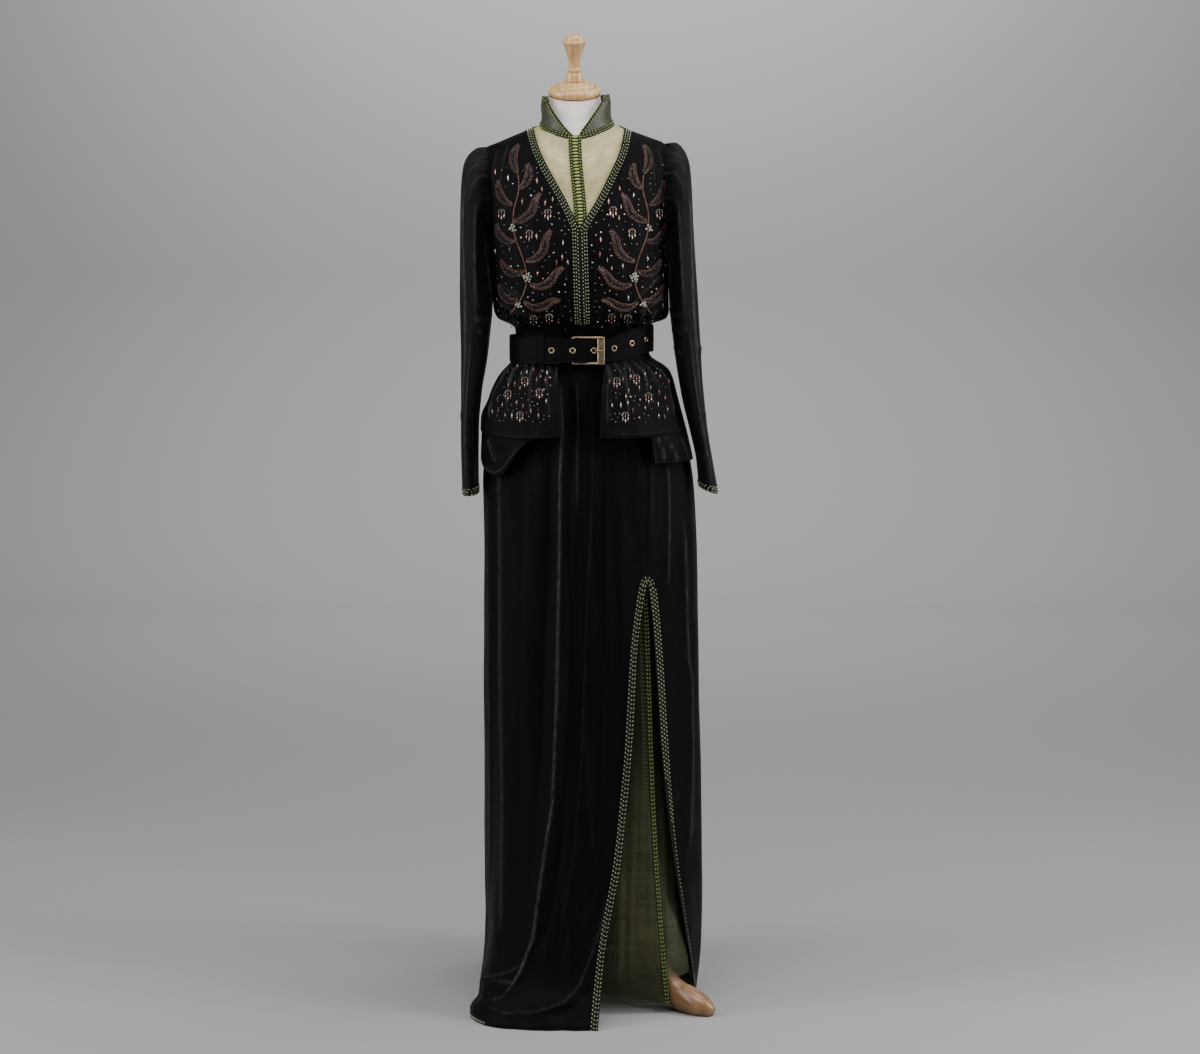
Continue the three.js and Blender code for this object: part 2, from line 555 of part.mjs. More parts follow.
// ---------- sleeves ----------
const SLEEVE_SIDES = 14;
const ARMHOLE_TOP = { left: 1446.5, right: 1452 };
const SLEEVE_GAP = 2;
function sleeveGrid(side, table) {
  const rings = [];
  const start = [];
  for (let k = 0; k < SLEEVE_SIDES; k += 1) {
    const turn = (k / SLEEVE_SIDES) * 2 * Math.PI;
    const z = mix(UNDERARM, ARMHOLE_TOP[side], (1 + Math.cos(turn)) / 2);
    const ring = rowAt(BODICE, z);
    const midX = (ring.left + ring.right) / 2;
    const x = midX + (ring[side] - midX) * rowAt(ARMHOLE, z).share;
    const face = Math.sin(turn) > 0 ? -1 : 1;
    const point = ringPoint(ring, angleAtX(ring, x, face));
    point.x += SIDES[side] * SLEEVE_GAP;
    start.push(point);
  }
  rings.push(start);
  for (const row of table) {
    const ring = [];
    for (let k = 0; k < SLEEVE_SIDES; k += 1) {
      const turn = (k / SLEEVE_SIDES) * 2 * Math.PI;
      const out = (1 + Math.cos(turn)) / 2;
      ring.push(new THREE.Vector3(
        mix(row.inX, row.outX, out),
        row.midY - row.depth * Math.sin(turn),
        mix(row.inZ, row.outZ, out),
      ));
    }
    rings.push(ring);
  }
  return pointGrid(rings, true);
}

for (const [side, table] of [['left', SLEEVE_LEFT], ['right', SLEEVE_RIGHT]]) {
  const grid = sleeveGrid(side, table);
  add(`sleeve_${side}`, cloth(grid, VELVET, true), velvet);
  const outward = grid[5][0].normal.x * SIDES[side] > 0 ? 1 : -1;
  const cuff = grid.slice(-2);
  const near = outward * (VELVET / 2 + LAYER_GAP);
  add(`cuff_trim_${side}`, wall(cuff, near, near + outward * BRAID, true), braid);
}

// ---------- skirt ----------
const SKIRT_HEIGHTS = [1111.1, 1086, 1060, 1000, 940, 860, 755, 739, 640, 520, 400, 280, 180, 110, 70, 42, 22, 5];
const SLIT_ROW = SKIRT_HEIGHTS.indexOf(SLIT_TOP);
const SKIRT_LEFT_COLUMNS = 11;
const SKIRT_RIGHT_COLUMNS = 6;
const SKIRT_BACK_COLUMNS = 13;
const RIGHT_SEAM = 12 * RAD;

function slitAngle(side, z) {
  const edge = rowAt(SLIT, z)[z >= SLIT_TOP ? 'left' : side];
  return angleAtX(rowAt(SKIRT, z), edge + SIDES[side] * SEAM / 2);
}

function slitTurn(side, z) {
  const ring = rowAt(SKIRT, z);
  const edge = slitAngle(side, z);
  return BRAID_WIDTH / ringPoint(ring, edge).distanceTo(new THREE.Vector3(
    (ring.left + ring.right) / 2, ring.midY, ring.z));
}

function skirtFrontPlace(side, columns) {
  return (i, j) => {
    const z = SKIRT_HEIGHTS[i];
    const edge = slitAngle(side, z);
    const step = side === 'left' ? -slitTurn(side, z) : slitTurn(side, z);
    const seam = seamTurn(rowAt(SKIRT, z), 0);
    const end = side === 'left' ? -Math.PI + seam : RIGHT_SEAM - seam;
    if (j === 0) return { angle: edge, z };
    return { angle: mix(edge + step, end, (j - 1) / (columns - 1)), z };
  };
}

const skirtLeft = surfaceGrid(skirt, SKIRT_HEIGHTS.length - 1, SKIRT_LEFT_COLUMNS,
  skirtFrontPlace('left', SKIRT_LEFT_COLUMNS));
const skirtRight = surfaceGrid(skirt, SKIRT_HEIGHTS.length - 1, SKIRT_RIGHT_COLUMNS,
  skirtFrontPlace('right', SKIRT_RIGHT_COLUMNS));
const skirtBack = surfaceGrid(skirt, SKIRT_HEIGHTS.length - 1, SKIRT_BACK_COLUMNS, (i, j) => {
  const z = SKIRT_HEIGHTS[i];
  const seam = seamTurn(rowAt(SKIRT, z), 0);
  return { angle: mix(RIGHT_SEAM + seam, Math.PI - seam, j / SKIRT_BACK_COLUMNS), z };
});
add('skirt_front_left', cloth(skirtLeft, VELVET), velvet);
add('skirt_front_right', cloth(skirtRight, VELVET), velvet);
add('skirt_back', cloth(skirtBack, VELVET), velvet);

const lastRow = SKIRT_HEIGHTS.length - 1;
add('slit_trim_left', overlay(part(skirtLeft, SLIT_ROW, lastRow - 2, 0, 1), VELVET), braid);
add('slit_trim_right', overlay(part(skirtRight, SLIT_ROW, lastRow - 2, 0, 1), VELVET), braid);
const ARCH_CLEAR = 0.04;
const HEM_TRIM_COLUMN = 7;
const archRows = [SLIT_ROW - 1, SLIT_ROW].map((i) => (
  [skirtLeft[i][1], skirtLeft[i][0], skirtRight[i][0], skirtRight[i][1]]));
archRows[1] = archRows[1].map((corner, j) => ({
  point: corner.point.clone().lerp(archRows[0][j].point, ARCH_CLEAR),
  normal: corner.normal,
}));
add('slit_trim_top', overlay(archRows, VELVET), braid);
add('hem_trim', overlay(part(skirtLeft, lastRow - 1, lastRow, HEM_TRIM_COLUMN, SKIRT_LEFT_COLUMNS), VELVET), braid);

// ---------- peplum ----------
const PEPLUM_LEVELS = [WAIST, 1099, 1089.5, 1083, 1075, 1055, 1031];
const PEPLUM_GAP = 1.2;
// A peplum piece runs between two edge angles and hangs to a hem height that varies along it.
function peplumGrid(columns, startAngle, endAngle, hem) {
  const rows = PEPLUM_LEVELS.length + 1;
  const last = PEPLUM_LEVELS[PEPLUM_LEVELS.length - 1];
  return surfaceGrid(peplum, rows, columns, (i, j) => {
    const t = j / columns;
    const z = i < PEPLUM_LEVELS.length ? PEPLUM_LEVELS[i] : mix(last, hem(t), i === rows ? 1 : 0.5);
    return { angle: mix(startAngle(z), endAngle(z), t), z };
  }, 880, WAIST);
}
const peplumEdge = (side) => (z) => angleAtX(rowAt(PEPLUM, z), rowAt(PEPLUM_EDGE, z)[side]);
const peplumHem = (lift) => (t) => PEPLUM_HEM + lift * t * t - 3 * Math.sin(Math.PI * t);
const leftFront = peplumGrid(10, peplumEdge('left'), () => -172 * RAD, peplumHem(4));
const rightFront = peplumGrid(8, peplumEdge('right'), (z) => -mix(20, 24, smooth(1100, 980, z)) * RAD, peplumHem(8));
add('peplum_front_left', cloth(leftFront, VELVET), velvet);
add('peplum_front_right', cloth(rightFront, VELVET), velvet);
const underFront = (grid) => wall(grid, -VELVET * 1.5 - PEPLUM_GAP, -VELVET / 2 - PEPLUM_GAP);
const backSeam = 90 * RAD;
const longLeft = peplumGrid(10, (z) => -mix(126, 146, smooth(960, 900, z)) * RAD,
  () => backSeam - 2 * Math.PI + 0.001, (t) => mix(955, 897, smooth(0, 0.25, t)));
const longRight = peplumGrid(10, () => -44 * RAD, () => backSeam - 0.001,
  (t) => mix(926, 900, smooth(0.3, 1, t)));
add('peplum_long_left', underFront(longLeft), velvet);
add('peplum_long_right', underFront(longRight), velvet);

// ---------- underdress: yoke, centre strip and collar ----------
const COLLAR = [
  { t: 0, left: -61, right: 62, front: -84.5, back: 34, lift: 0, square: 2.4 },
  { t: 0.35, left: -57, right: 57, front: -78, back: 33, lift: 18, square: 2.2 },
  { t: 0.7, left: -59, right: 57, front: -74, back: 34, lift: 37, square: 2.1 },
  { t: 1, left: -55, right: 52, front: -70, back: 32, lift: 52, square: 2 },
];
// the collar's base line dips to the centre front, and its two front edges slope back to the sides
const collarBase = (angle) => {
  const front = Math.max(0, -Math.sin(angle));
  return 1487.5 - 1.5 * (1 - Math.cos(angle)) - 22 * front ** 2.2;
};
const collarStart = (t) => mix(-91, -152, t ** 0.75) * RAD;
const collarEnd = (t) => mix(-85.5, -26, t ** 0.75) * RAD;
const COLLAR_T = [0, 0.16, 0.42, 0.68, 0.86, 1];
const COLLAR_COLUMNS = 18;
const collarPoints = COLLAR_T.map((t) => {
  const row = [];
  for (let j = 0; j <= COLLAR_COLUMNS; j += 1) {
    const span = 2 * Math.PI - (collarEnd(t) - collarStart(t));
    const edge = 8 / 56;
    const inside = mix(edge, span - edge, (j - 1) / (COLLAR_COLUMNS - 2));
    const along = j === 0 ? 0 : j === COLLAR_COLUMNS ? span : inside;
    const angle = collarStart(t) - along;
    const ring = { ...rowAt(COLLAR, t, 't'), midY: -22, z: 0 };
    const point = ringPoint(ring, angle);
    point.z = collarBase(angle) + ring.lift * (0.93 + 0.07 * Math.abs(Math.cos(angle)));
    row.push(point);
  }
  return row;
});
const COLLAR_WALL = 1.8;
const collar = pointGrid(collarPoints, false).map((row) => row.map(({ point, normal }) => {
  const away = point.clone().sub(new THREE.Vector3(0, -22, point.z));
  return { point, normal: normal.dot(away) < 0 ? normal.negate() : normal };
}));
add('collar', cloth(collar, COLLAR_WALL), satin);
const topRow = COLLAR_T.length - 1;
add('collar_base_trim', overlay(part(collar, 0, 1, 0, COLLAR_COLUMNS), COLLAR_WALL), brightBraid);
add('collar_top_trim', overlay(part(collar, topRow - 1, topRow, 0, COLLAR_COLUMNS), COLLAR_WALL), brightBraid);
const nudge = (grid) => grid.map((row, i) => row.map(({ point, normal }, j) => {
  const inner = i === 0 ? grid[1][j].point : grid[grid.length - 2][j].point;
  const moved = i === 0 || i === grid.length - 1 ? point.clone().lerp(inner, 0.05) : point;
  return { point: moved, normal };
}));
add('collar_front_trim_left', overlay(nudge(part(collar, 1, topRow - 1, 0, 1)), COLLAR_WALL), brightBraid);
add('collar_front_trim_right', overlay(nudge(part(collar, 1, topRow - 1, COLLAR_COLUMNS - 1, COLLAR_COLUMNS)),
  COLLAR_WALL), brightBraid);

const YOKE_COLUMNS = 6;
const YOKE_ROWS = FRONT_HEIGHTS.indexOf(V_POINT);
const YOKE_LOW = 1338;
const STRIP_HALF = 8.5;
const YOKE_NEAR = -VELVET / 2 - LAYER_GAP - ORGANZA;
const YOKE_FAR = -VELVET / 2 - LAYER_GAP;
const stripX = (z) => mix(7.6, -2.3, smooth(V_POINT, 1460, z));
// the yoke's top edge follows the collar's base line, then the shoulder ridge
function yokeTop(side, x) {
  const base = { ...COLLAR[0], midY: -22, z: 0 };
  const inCollar = SIDES[side] * x < SIDES[side] * base[side];
  return inCollar ? collarBase(angleAtX(base, x)) - 0.6 : ridgeHeight(side, x);
}
function between(a, b, t) {
  return { point: a.point.clone().lerp(b.point, t), normal: a.normal.clone().lerp(b.normal, t).normalize() };
}
// Its last two columns are the velvet front's own first two, so it lies flat beneath that edge.
function yokeGrid(side) {
  const front = fronts[side];
  const cut = (FRONT_HEIGHTS[YOKE_ROWS - 1] - YOKE_LOW) / (FRONT_HEIGHTS[YOKE_ROWS - 1] - V_POINT);
  const grid = surfaceGrid(bodice, YOKE_ROWS, YOKE_COLUMNS - 2, (i, j) => {
    const t = j / (YOKE_COLUMNS - 1);
    const xTop = mix(stripX(1460) + SIDES[side] * (STRIP_HALF + 2 * SEAM), V_NECK[0][side], t);
    const level = i === YOKE_ROWS ? YOKE_LOW : FRONT_HEIGHTS[i];
    const z = mix(yokeTop(side, xTop), YOKE_LOW, (FRONT_HEIGHTS[0] - level) / (FRONT_HEIGHTS[0] - YOKE_LOW));
    const x = mix(stripX(z) + SIDES[side] * (STRIP_HALF + 2 * SEAM), innerEdgeX(side, z), t);
    return { angle: angleAtX(rowAt(BODICE, z), x), z };
  });
  return grid.map((row, i) => [...row, ...[0, 1].map((column) => (
    i < YOKE_ROWS ? front[i][column] : between(front[i - 1][column], front[i][column], cut)))]);
}
for (const side of ['left', 'right']) {
  add(`yoke_${side}`, wall(yokeGrid(side), YOKE_NEAR, YOKE_FAR), organza);
}
const strip = surfaceGrid(bodice, YOKE_ROWS, 2, (i, j) => {
  const z = mix(1459, V_POINT, (FRONT_HEIGHTS[0] - FRONT_HEIGHTS[i]) / (FRONT_HEIGHTS[0] - V_POINT));
  return { angle: angleAtX(rowAt(BODICE, z), stripX(z) + (j - 1) * STRIP_HALF), z };
});
add('centre_strip', wall(strip, YOKE_NEAR, YOKE_FAR), brightBraid);

// ---------- underskirt ----------
const UNDER_HEIGHTS = [1109, 1086, 1060, 1000, 940, 860, 739, 640, 540, 440, 330, 220, 140, 75, 16];
const UNDER_LOW = 16;
const LAP = 4.3;
const UNDER_BRAID = 6;
// the right panel's hem rises over the stand's foot
const underHem = {
  left: () => UNDER_LOW,
  right: (angle) => UNDER_LOW + 44 * smooth(-51 * RAD, -47 * RAD, angle) - 28 * smooth(-32 * RAD, -16 * RAD, angle),
};
const underFar = { left: -116 * RAD, right: -3 * RAD };
function underPlace(side, columns) {
  return (i, j) => {
    const top = UNDER_HEIGHTS[0];
    const level = UNDER_HEIGHTS[i];
    const ring = rowAt(UNDERSKIRT, level);
    const edge = angleAtX(ring, rowAt(UNDER_EDGE, level)[side]);
    const pastBraid = edge - UNDER_BRAID / 170;
    const free = side === 'left' ? pastBraid : edge + 2 * UNDER_BRAID / 170;
    const angle = j === 0 ? edge : mix(free, underFar[side], (j - 1) / (columns - 1));
    return { angle, z: mix(top, underHem[side](angle), (top - level) / (top - UNDER_LOW)) };
  };
}
const underLeft = surfaceGrid(underskirt, UNDER_HEIGHTS.length - 1, 8, underPlace('left', 8), 12, WAIST);
const underRight = surfaceGrid(underskirt, UNDER_HEIGHTS.length - 1, 7, underPlace('right', 7), 12, WAIST);
// the right panel laps beneath the left one
const underWall = (grid, lap) => wall(grid, -ORGANZA / 2 - lap, ORGANZA / 2 - lap);
const underTrim = (grid, lap) => wall(part(grid, UNDER_HEIGHTS.indexOf(739), UNDER_HEIGHTS.length - 1, 0, 1),
  ORGANZA / 2 + LAYER_GAP - lap, ORGANZA * 1.5 + LAYER_GAP - lap);
add('underskirt_left', underWall(underLeft, 0), organza);
add('underskirt_right', underWall(underRight, LAP), organza);
add('underskirt_braid_left', underTrim(underLeft, 0), brightBraid);
add('underskirt_braid_right', underTrim(underRight, LAP), brightBraid);

// ---------- belt ----------
const WAIST_RING = rowAt(SKIRT, WAIST);
const beltNormal = (angle) => {
  const tangent = ringPoint(WAIST_RING, angle + 0.01).sub(ringPoint(WAIST_RING, angle - 0.01)).normalize();
  return new THREE.Vector3(tangent.y, -tangent.x, 0);
};
// A point of the belt: out along the waist's normal, on a line that rises towards the right side.
const beltPoint = (angle, offset, up = 0) => {
  const point = ringPoint(WAIST_RING, angle).addScaledVector(beltNormal(angle), offset);
  point.z = BELT.z + BELT.rise * smooth(38, 125, point.x) + up;
  return point;
};
function beltAngle(x) {
  let low = -Math.PI;
  let high = 0;
  for (let step = 0; step < 30; step += 1) {
    const middle = (low + high) / 2;
    if (beltPoint(middle, BELT.outer).x < x) low = middle;
    else high = middle;
  }
  return low;
}
function strapHeight(angle) {
  const { x } = beltPoint(angle, BELT.inner);
  const inBuckle = smooth(-36, -14, x) * (1 - smooth(52, 74, x));
  const front = Math.sin(angle) < 0 ? 1 : 0;
  return BELT.height - BELT.pinch * inBuckle * front;
}
// The strap starts at the buckle, winds once round beneath its own end, and ends to the left of the keeper.
const STRAP = { startX: -9.5, endX: -92, steps: 62, narrowEnd: 0.6, riseFrom: 300 * RAD, riseTo: 345 * RAD };
const STRAP_START = beltAngle(STRAP.startX);
const STRAP_TURN = 2 * Math.PI + (STRAP_START - beltAngle(STRAP.endX));
const strapPoints = [[], []];
for (let k = 0; k <= STRAP.steps; k += 1) {
  const turned = (k / STRAP.steps) * STRAP_TURN;
  const angle = STRAP_START - turned;
  const over = smooth(STRAP.riseFrom, STRAP.riseTo, turned);
  const half = strapHeight(angle) / 2 * (k === STRAP.steps ? STRAP.narrowEnd : 1);
  for (const [row, up] of [[0, half], [1, -half]]) {
    strapPoints[row].push(beltPoint(angle, mix(BELT.inner, BELT.outer, over), up));
  }
}
const strapGrid = pointGrid(strapPoints, false);

function toManifold(geometry) {
  const bare = geometry.clone();
  bare.deleteAttribute('normal');
  bare.deleteAttribute('uv');
  const merged = mergeVertices(bare, 1e-4);
  const triVerts = new Uint32Array(merged.index.array);
  return new wasm.Manifold(new wasm.Mesh({
    numProp: 3, vertProperties: new Float32Array(merged.attributes.position.array), triVerts }));
}
function fromManifold(solid) {
  const mesh = solid.getMesh();
  const geometry = new THREE.BufferGeometry();
  geometry.setAttribute('position', new THREE.BufferAttribute(new Float32Array(mesh.vertProperties), 3));
  geometry.setIndex([...mesh.triVerts]);
  return geometry;
}
// Stands a shape drawn round +Z on the belt, with its axis along the belt's outward normal.
function onBelt(geometry, angle, offset) {
  const normal = beltNormal(angle);
  const frame = new THREE.Matrix4().makeBasis(
    new THREE.Vector3(-normal.y, normal.x, 0).negate(), new THREE.Vector3(0, 0, 1), normal);
  if (frame.determinant() < 0) frame.scale(new THREE.Vector3(-1, 1, 1));
  frame.setPosition(beltPoint(angle, offset));
  return geometry.applyMatrix4(frame);
}
function eyeletAngles() {
  const angles = [];
  for (let count = -2; count <= 3; count += 1) {
    let angle = beltAngle(EYELET.prongX);
    const step = 0.002 * Math.sign(count);
    let walked = 0;
    while (walked < Math.abs(count) * EYELET.spacing) {
      walked += beltPoint(angle, BELT.outer).distanceTo(beltPoint(angle + step, BELT.outer));
      angle += step;
    }
    angles.push(angle);
  }
  return angles;
}
// how far the strap's middle lies outside the waist section at an angle in the holed part
const holedOffset = (angle) => mix(BELT.inner, BELT.outer,
  smooth(STRAP.riseFrom, STRAP.riseTo, angle > STRAP_START ? STRAP_START - angle + 2 * Math.PI : 2 * Math.PI));
let strapSolid = toManifold(wall(strapGrid, -BELT.thick / 2, BELT.thick / 2));
const holes = eyeletAngles();
for (const angle of holes) {
  const punch = new THREE.CylinderGeometry(EYELET.inner + 0.5, EYELET.inner + 0.5, BELT.thick + 3, 8);
  punch.rotateX(Math.PI / 2);
  strapSolid = strapSolid.subtract(toManifold(onBelt(punch, angle, holedOffset(angle) + 0.6)));
}
add('belt_strap', fromManifold(strapSolid), strapVelvet);
holes.forEach((angle, index) => {
  const low = BELT.thick / 2 + LAYER_GAP;
  const ring = new THREE.LatheGeometry([
    new THREE.Vector2(EYELET.inner, low), new THREE.Vector2(EYELET.outer, low),
    new THREE.Vector2(EYELET.outer - 0.5, low + EYELET.thick), new THREE.Vector2(EYELET.inner, low + EYELET.thick),
    new THREE.Vector2(EYELET.inner, low)], 12);
  ring.rotateX(Math.PI / 2);
  add(`eyelet_${index + 1}`, onBelt(ring, angle, holedOffset(angle)), metal);
});

// keeper loop round both layers of the strap
const keeperAngle = beltAngle(KEEPER.x);
const keeperHalf = strapHeight(keeperAngle) / 2 + 0.5;
const keeperIn = BELT.inner - BELT.thick / 2 - KEEPER.gap;
const keeperOut = BELT.outer + BELT.thick / 2 + KEEPER.gap;
const keeperShape = new THREE.Shape();
keeperShape.moveTo(keeperIn - KEEPER.wall, -keeperHalf - KEEPER.wall);
keeperShape.lineTo(keeperOut + KEEPER.wall, -keeperHalf - KEEPER.wall);
keeperShape.lineTo(keeperOut + KEEPER.wall, keeperHalf + KEEPER.wall);
keeperShape.lineTo(keeperIn - KEEPER.wall, keeperHalf + KEEPER.wall);
keeperShape.closePath();
const keeperHole = new THREE.Path();
keeperHole.moveTo(keeperIn, -keeperHalf);
keeperHole.lineTo(keeperIn, keeperHalf);
keeperHole.lineTo(keeperOut, keeperHalf);
keeperHole.lineTo(keeperOut, -keeperHalf);
keeperHole.closePath();
keeperShape.holes.push(keeperHole);
const keeper = new THREE.ExtrudeGeometry(keeperShape, { depth: KEEPER.width, bevelEnabled: false });
keeper.translate(0, 0, -KEEPER.width / 2);
keeper.applyMatrix4(new THREE.Matrix4().makeBasis(
  new THREE.Vector3(0, 0, 1), new THREE.Vector3(0, 1, 0), new THREE.Vector3(-1, 0, 0)));
add('belt_keeper', onBelt(keeper, keeperAngle, 0), strapVelvet);

// buckle frame, tilted so that its left bar lies under the strap's holed end and its right bar over it
const leftBar = beltPoint(beltAngle(BUCKLE.leftX), BELT.inner - 0.2);
const rightBar = beltPoint(beltAngle(BUCKLE.rightX), BELT.outer + BELT.thick / 2 + 0.9 + BUCKLE.thick / 2);
const span = rightBar.clone().sub(leftBar);
const frameX0 = -BUCKLE.bar / 2;
const frameX1 = span.length() + BUCKLE.wideBar / 2;
const frameHalf = BUCKLE.frameHigh / 2;
const frameShape = new THREE.Shape([
  new THREE.Vector2(frameX0, -frameHalf), new THREE.Vector2(frameX1, -frameHalf),
  new THREE.Vector2(frameX1, frameHalf), new THREE.Vector2(frameX0, frameHalf)]);
const windowShape = new THREE.Path([
  new THREE.Vector2(frameX0 + BUCKLE.bar, -frameHalf + BUCKLE.bar),
  new THREE.Vector2(frameX0 + BUCKLE.bar, frameHalf - BUCKLE.bar),
  new THREE.Vector2(frameX1 - BUCKLE.wideBar, frameHalf - BUCKLE.bar),
  new THREE.Vector2(frameX1 - BUCKLE.wideBar, -frameHalf + BUCKLE.bar)]);
frameShape.holes.push(windowShape);
const frameGeometry = new THREE.ExtrudeGeometry(frameShape, { depth: BUCKLE.thick, bevelEnabled: false });
frameGeometry.translate(0, 0, -BUCKLE.thick / 2);
const frameAlong = span.clone().normalize();
const frameUp = new THREE.Vector3(0, 0, 1);
frameGeometry.applyMatrix4(new THREE.Matrix4().makeBasis(frameAlong, frameUp,
  frameAlong.clone().cross(frameUp)).setPosition(leftBar));
add('buckle_frame', frameGeometry, metal);

const PRONG = [
  { x: -3.4, offset: BELT.inner - 0.4 },
  { x: 12, offset: BELT.inner - 0.6 },
  { x: 24, offset: BELT.inner - 0.2 },
  { x: 28.9, offset: BELT.outer - 0.2 },
  { x: 32.5, offset: BELT.outer + 5.4 },
  { x: 37, offset: BELT.outer + 6.7 },
  { x: 44, offset: BELT.outer + 7.4 },
];
const prongCurve = new THREE.CatmullRomCurve3(PRONG.map(({ x, offset }) => beltPoint(beltAngle(x), offset)));
const prongSection = new THREE.Shape();
const PRONG_RADIUS = 0.95;
for (let k = 0; k < 6; k += 1) {
  const turn = (k / 6) * 2 * Math.PI;
  if (k === 0) prongSection.moveTo(PRONG_RADIUS, 0);
  else prongSection.lineTo(PRONG_RADIUS * Math.cos(turn), PRONG_RADIUS * Math.sin(turn));
}
add('buckle_prong', new THREE.ExtrudeGeometry(prongSection,
  { steps: 16, extrudePath: prongCurve, bevelEnabled: false }), metal);

// ---------- dress form and stand ----------
const FORM_SIDES = 36;
const formRings = FORM.map((row) => {
  const ring = [];
  const lean = smooth(NECK_TOP - NECK_LEAN_HEIGHT, NECK_TOP, row.z) * Math.tan(CAP.tilt * RAD);
  for (let k = 0; k < FORM_SIDES; k += 1) {
    const point = ringPoint(row, (k / FORM_SIDES) * 2 * Math.PI);
    point.z += (point.y - CAP.y) * lean;
    ring.push(point);
  }
  return ring;
});
// A closed body through rings, with a flat fan over its first and last ring.
function loft(rings) {
  const sides = rings[0].length;
  const positions = [];
  for (const ring of rings) for (const point of ring) positions.push(...point.toArray());
  const faces = [];
  const at = (i, k) => i * sides + (k % sides);
  for (let i = 0; i < rings.length - 1; i += 1) {
    for (let k = 0; k < sides; k += 1) {
      faces.push(at(i, k), at(i + 1, k), at(i + 1, k + 1), at(i, k), at(i + 1, k + 1), at(i, k + 1));
    }
  }
  const centre = (ring) => ring.reduce((sum, p) => sum.add(p), new THREE.Vector3()).divideScalar(sides);
  const first = positions.length / 3;
  positions.push(...centre(rings[0]).toArray(), ...centre(rings[rings.length - 1]).toArray());
  for (let k = 0; k < sides; k += 1) {
    faces.push(first, at(0, k), at(0, k + 1));
    faces.push(first + 1, at(rings.length - 1, k + 1), at(rings.length - 1, k));
  }
  return closedGeometry(positions, faces);
}
add('form_torso', loft(formRings), jersey);

const lathe = (profile, sides) => {
  const geometry = new THREE.LatheGeometry(profile.map(([radius, height]) => new THREE.Vector2(radius, height)), sides);
  return geometry.rotateX(Math.PI / 2);
};
const onNeck = (geometry) => {
  geometry.rotateX(CAP.tilt * RAD);
  return geometry.translate(CAP.x, CAP.y, CAP.z);
};
add('neck_cap', onNeck(lathe([[0, 5.3], [41, 5.3], [43.5, 8], [44, 13], [42.5, 17], [38, 19.4], [34.5, 19.8],
  [33.6, 18.2], [32.6, 19.6], [31, 22.5], [24, 26], [16, 28.4], [0, 28.4]], 28)), beech);
add('finial', onNeck(lathe([[0, 28.7], [14, 28.7], [14.6, 33], [13.6, 40], [12, 43.4], [9.4, 45], [11.6, 47],
  [11.8, 49], [8.8, 51.6], [9, 58], [12, 72], [16.6, 86], [19.8, 94], [19.4, 96.5], [16.6, 98], [15, 102],
  [9, 106.6], [0, 108]], 24)), beech);

const pole = new THREE.CylinderGeometry(STAND.poleRadius, STAND.poleRadius, STAND.poleTop - STAND.hubHigh - SEAM, 20);
pole.rotateX(Math.PI / 2);
pole.translate(STAND.x, STAND.y, (STAND.poleTop + STAND.hubHigh + SEAM) / 2);
add('pole', pole, beech);
const hub = lathe([[0, STAND.hubLow - 14], [12, STAND.hubLow - 12], [22, STAND.hubLow - 4], [STAND.hubRadius, STAND.hubLow],
  [STAND.hubRadius, STAND.hubHigh - 8], [22, STAND.hubHigh], [0, STAND.hubHigh]], 24);
add('hub', hub.translate(STAND.x, STAND.y, 0), beech);

const LEG_SIDES = 10;
function leg(turn) {
  const direction = new THREE.Vector3(Math.cos(turn), Math.sin(turn), 0);
  const across = new THREE.Vector3(-direction.y, direction.x, 0);
  const centre = (row) => new THREE.Vector3(STAND.x, STAND.y, row.z).addScaledVector(direction, row.out);
  const rings = LEG_PATH.map((row, i) => {
    const ahead = LEG_PATH[Math.min(LEG_PATH.length - 1, i + 1)];
    const behind = LEG_PATH[Math.max(0, i - 1)];
    const tangent = centre(ahead).sub(centre(behind)).normalize();
    if (i === 0) tangent.copy(direction);
    const upward = tangent.clone().cross(across).negate().normalize();
    const ring = [];
    for (let k = 0; k < LEG_SIDES; k += 1) {
      const round = (k / LEG_SIDES) * 2 * Math.PI;
      const point = centre(row)
        .addScaledVector(across, row.wide * Math.cos(round))
        .addScaledVector(upward, row.half * Math.sin(round));
      point.z = Math.max(0, point.z);
      ring.push(point);
    }
    return ring;
  });
  return loft(rings);
}
LEG_TURN.forEach((turn, index) => add(`leg_${index + 1}`, leg(turn * RAD), beech));

// ---------- stand the model on the floor, centred on its own box ----------
const box = new THREE.Box3().setFromObject(kaftan);
const middle = box.getCenter(new THREE.Vector3());
kaftan.position.set(-middle.x, -middle.y, -box.min.z);
kaftan.updateMatrixWorld(true);

export default kaftan;
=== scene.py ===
# The looks of a velvet kaftan over a sheer organza underdress, on a wooden-stand dress form.
# Tables and shapes are in millimetres, and the scene is in metres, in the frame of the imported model.
# Left and right are as the photo shows them, the front faces -Y, and a turn runs from +X towards +Y.
import math

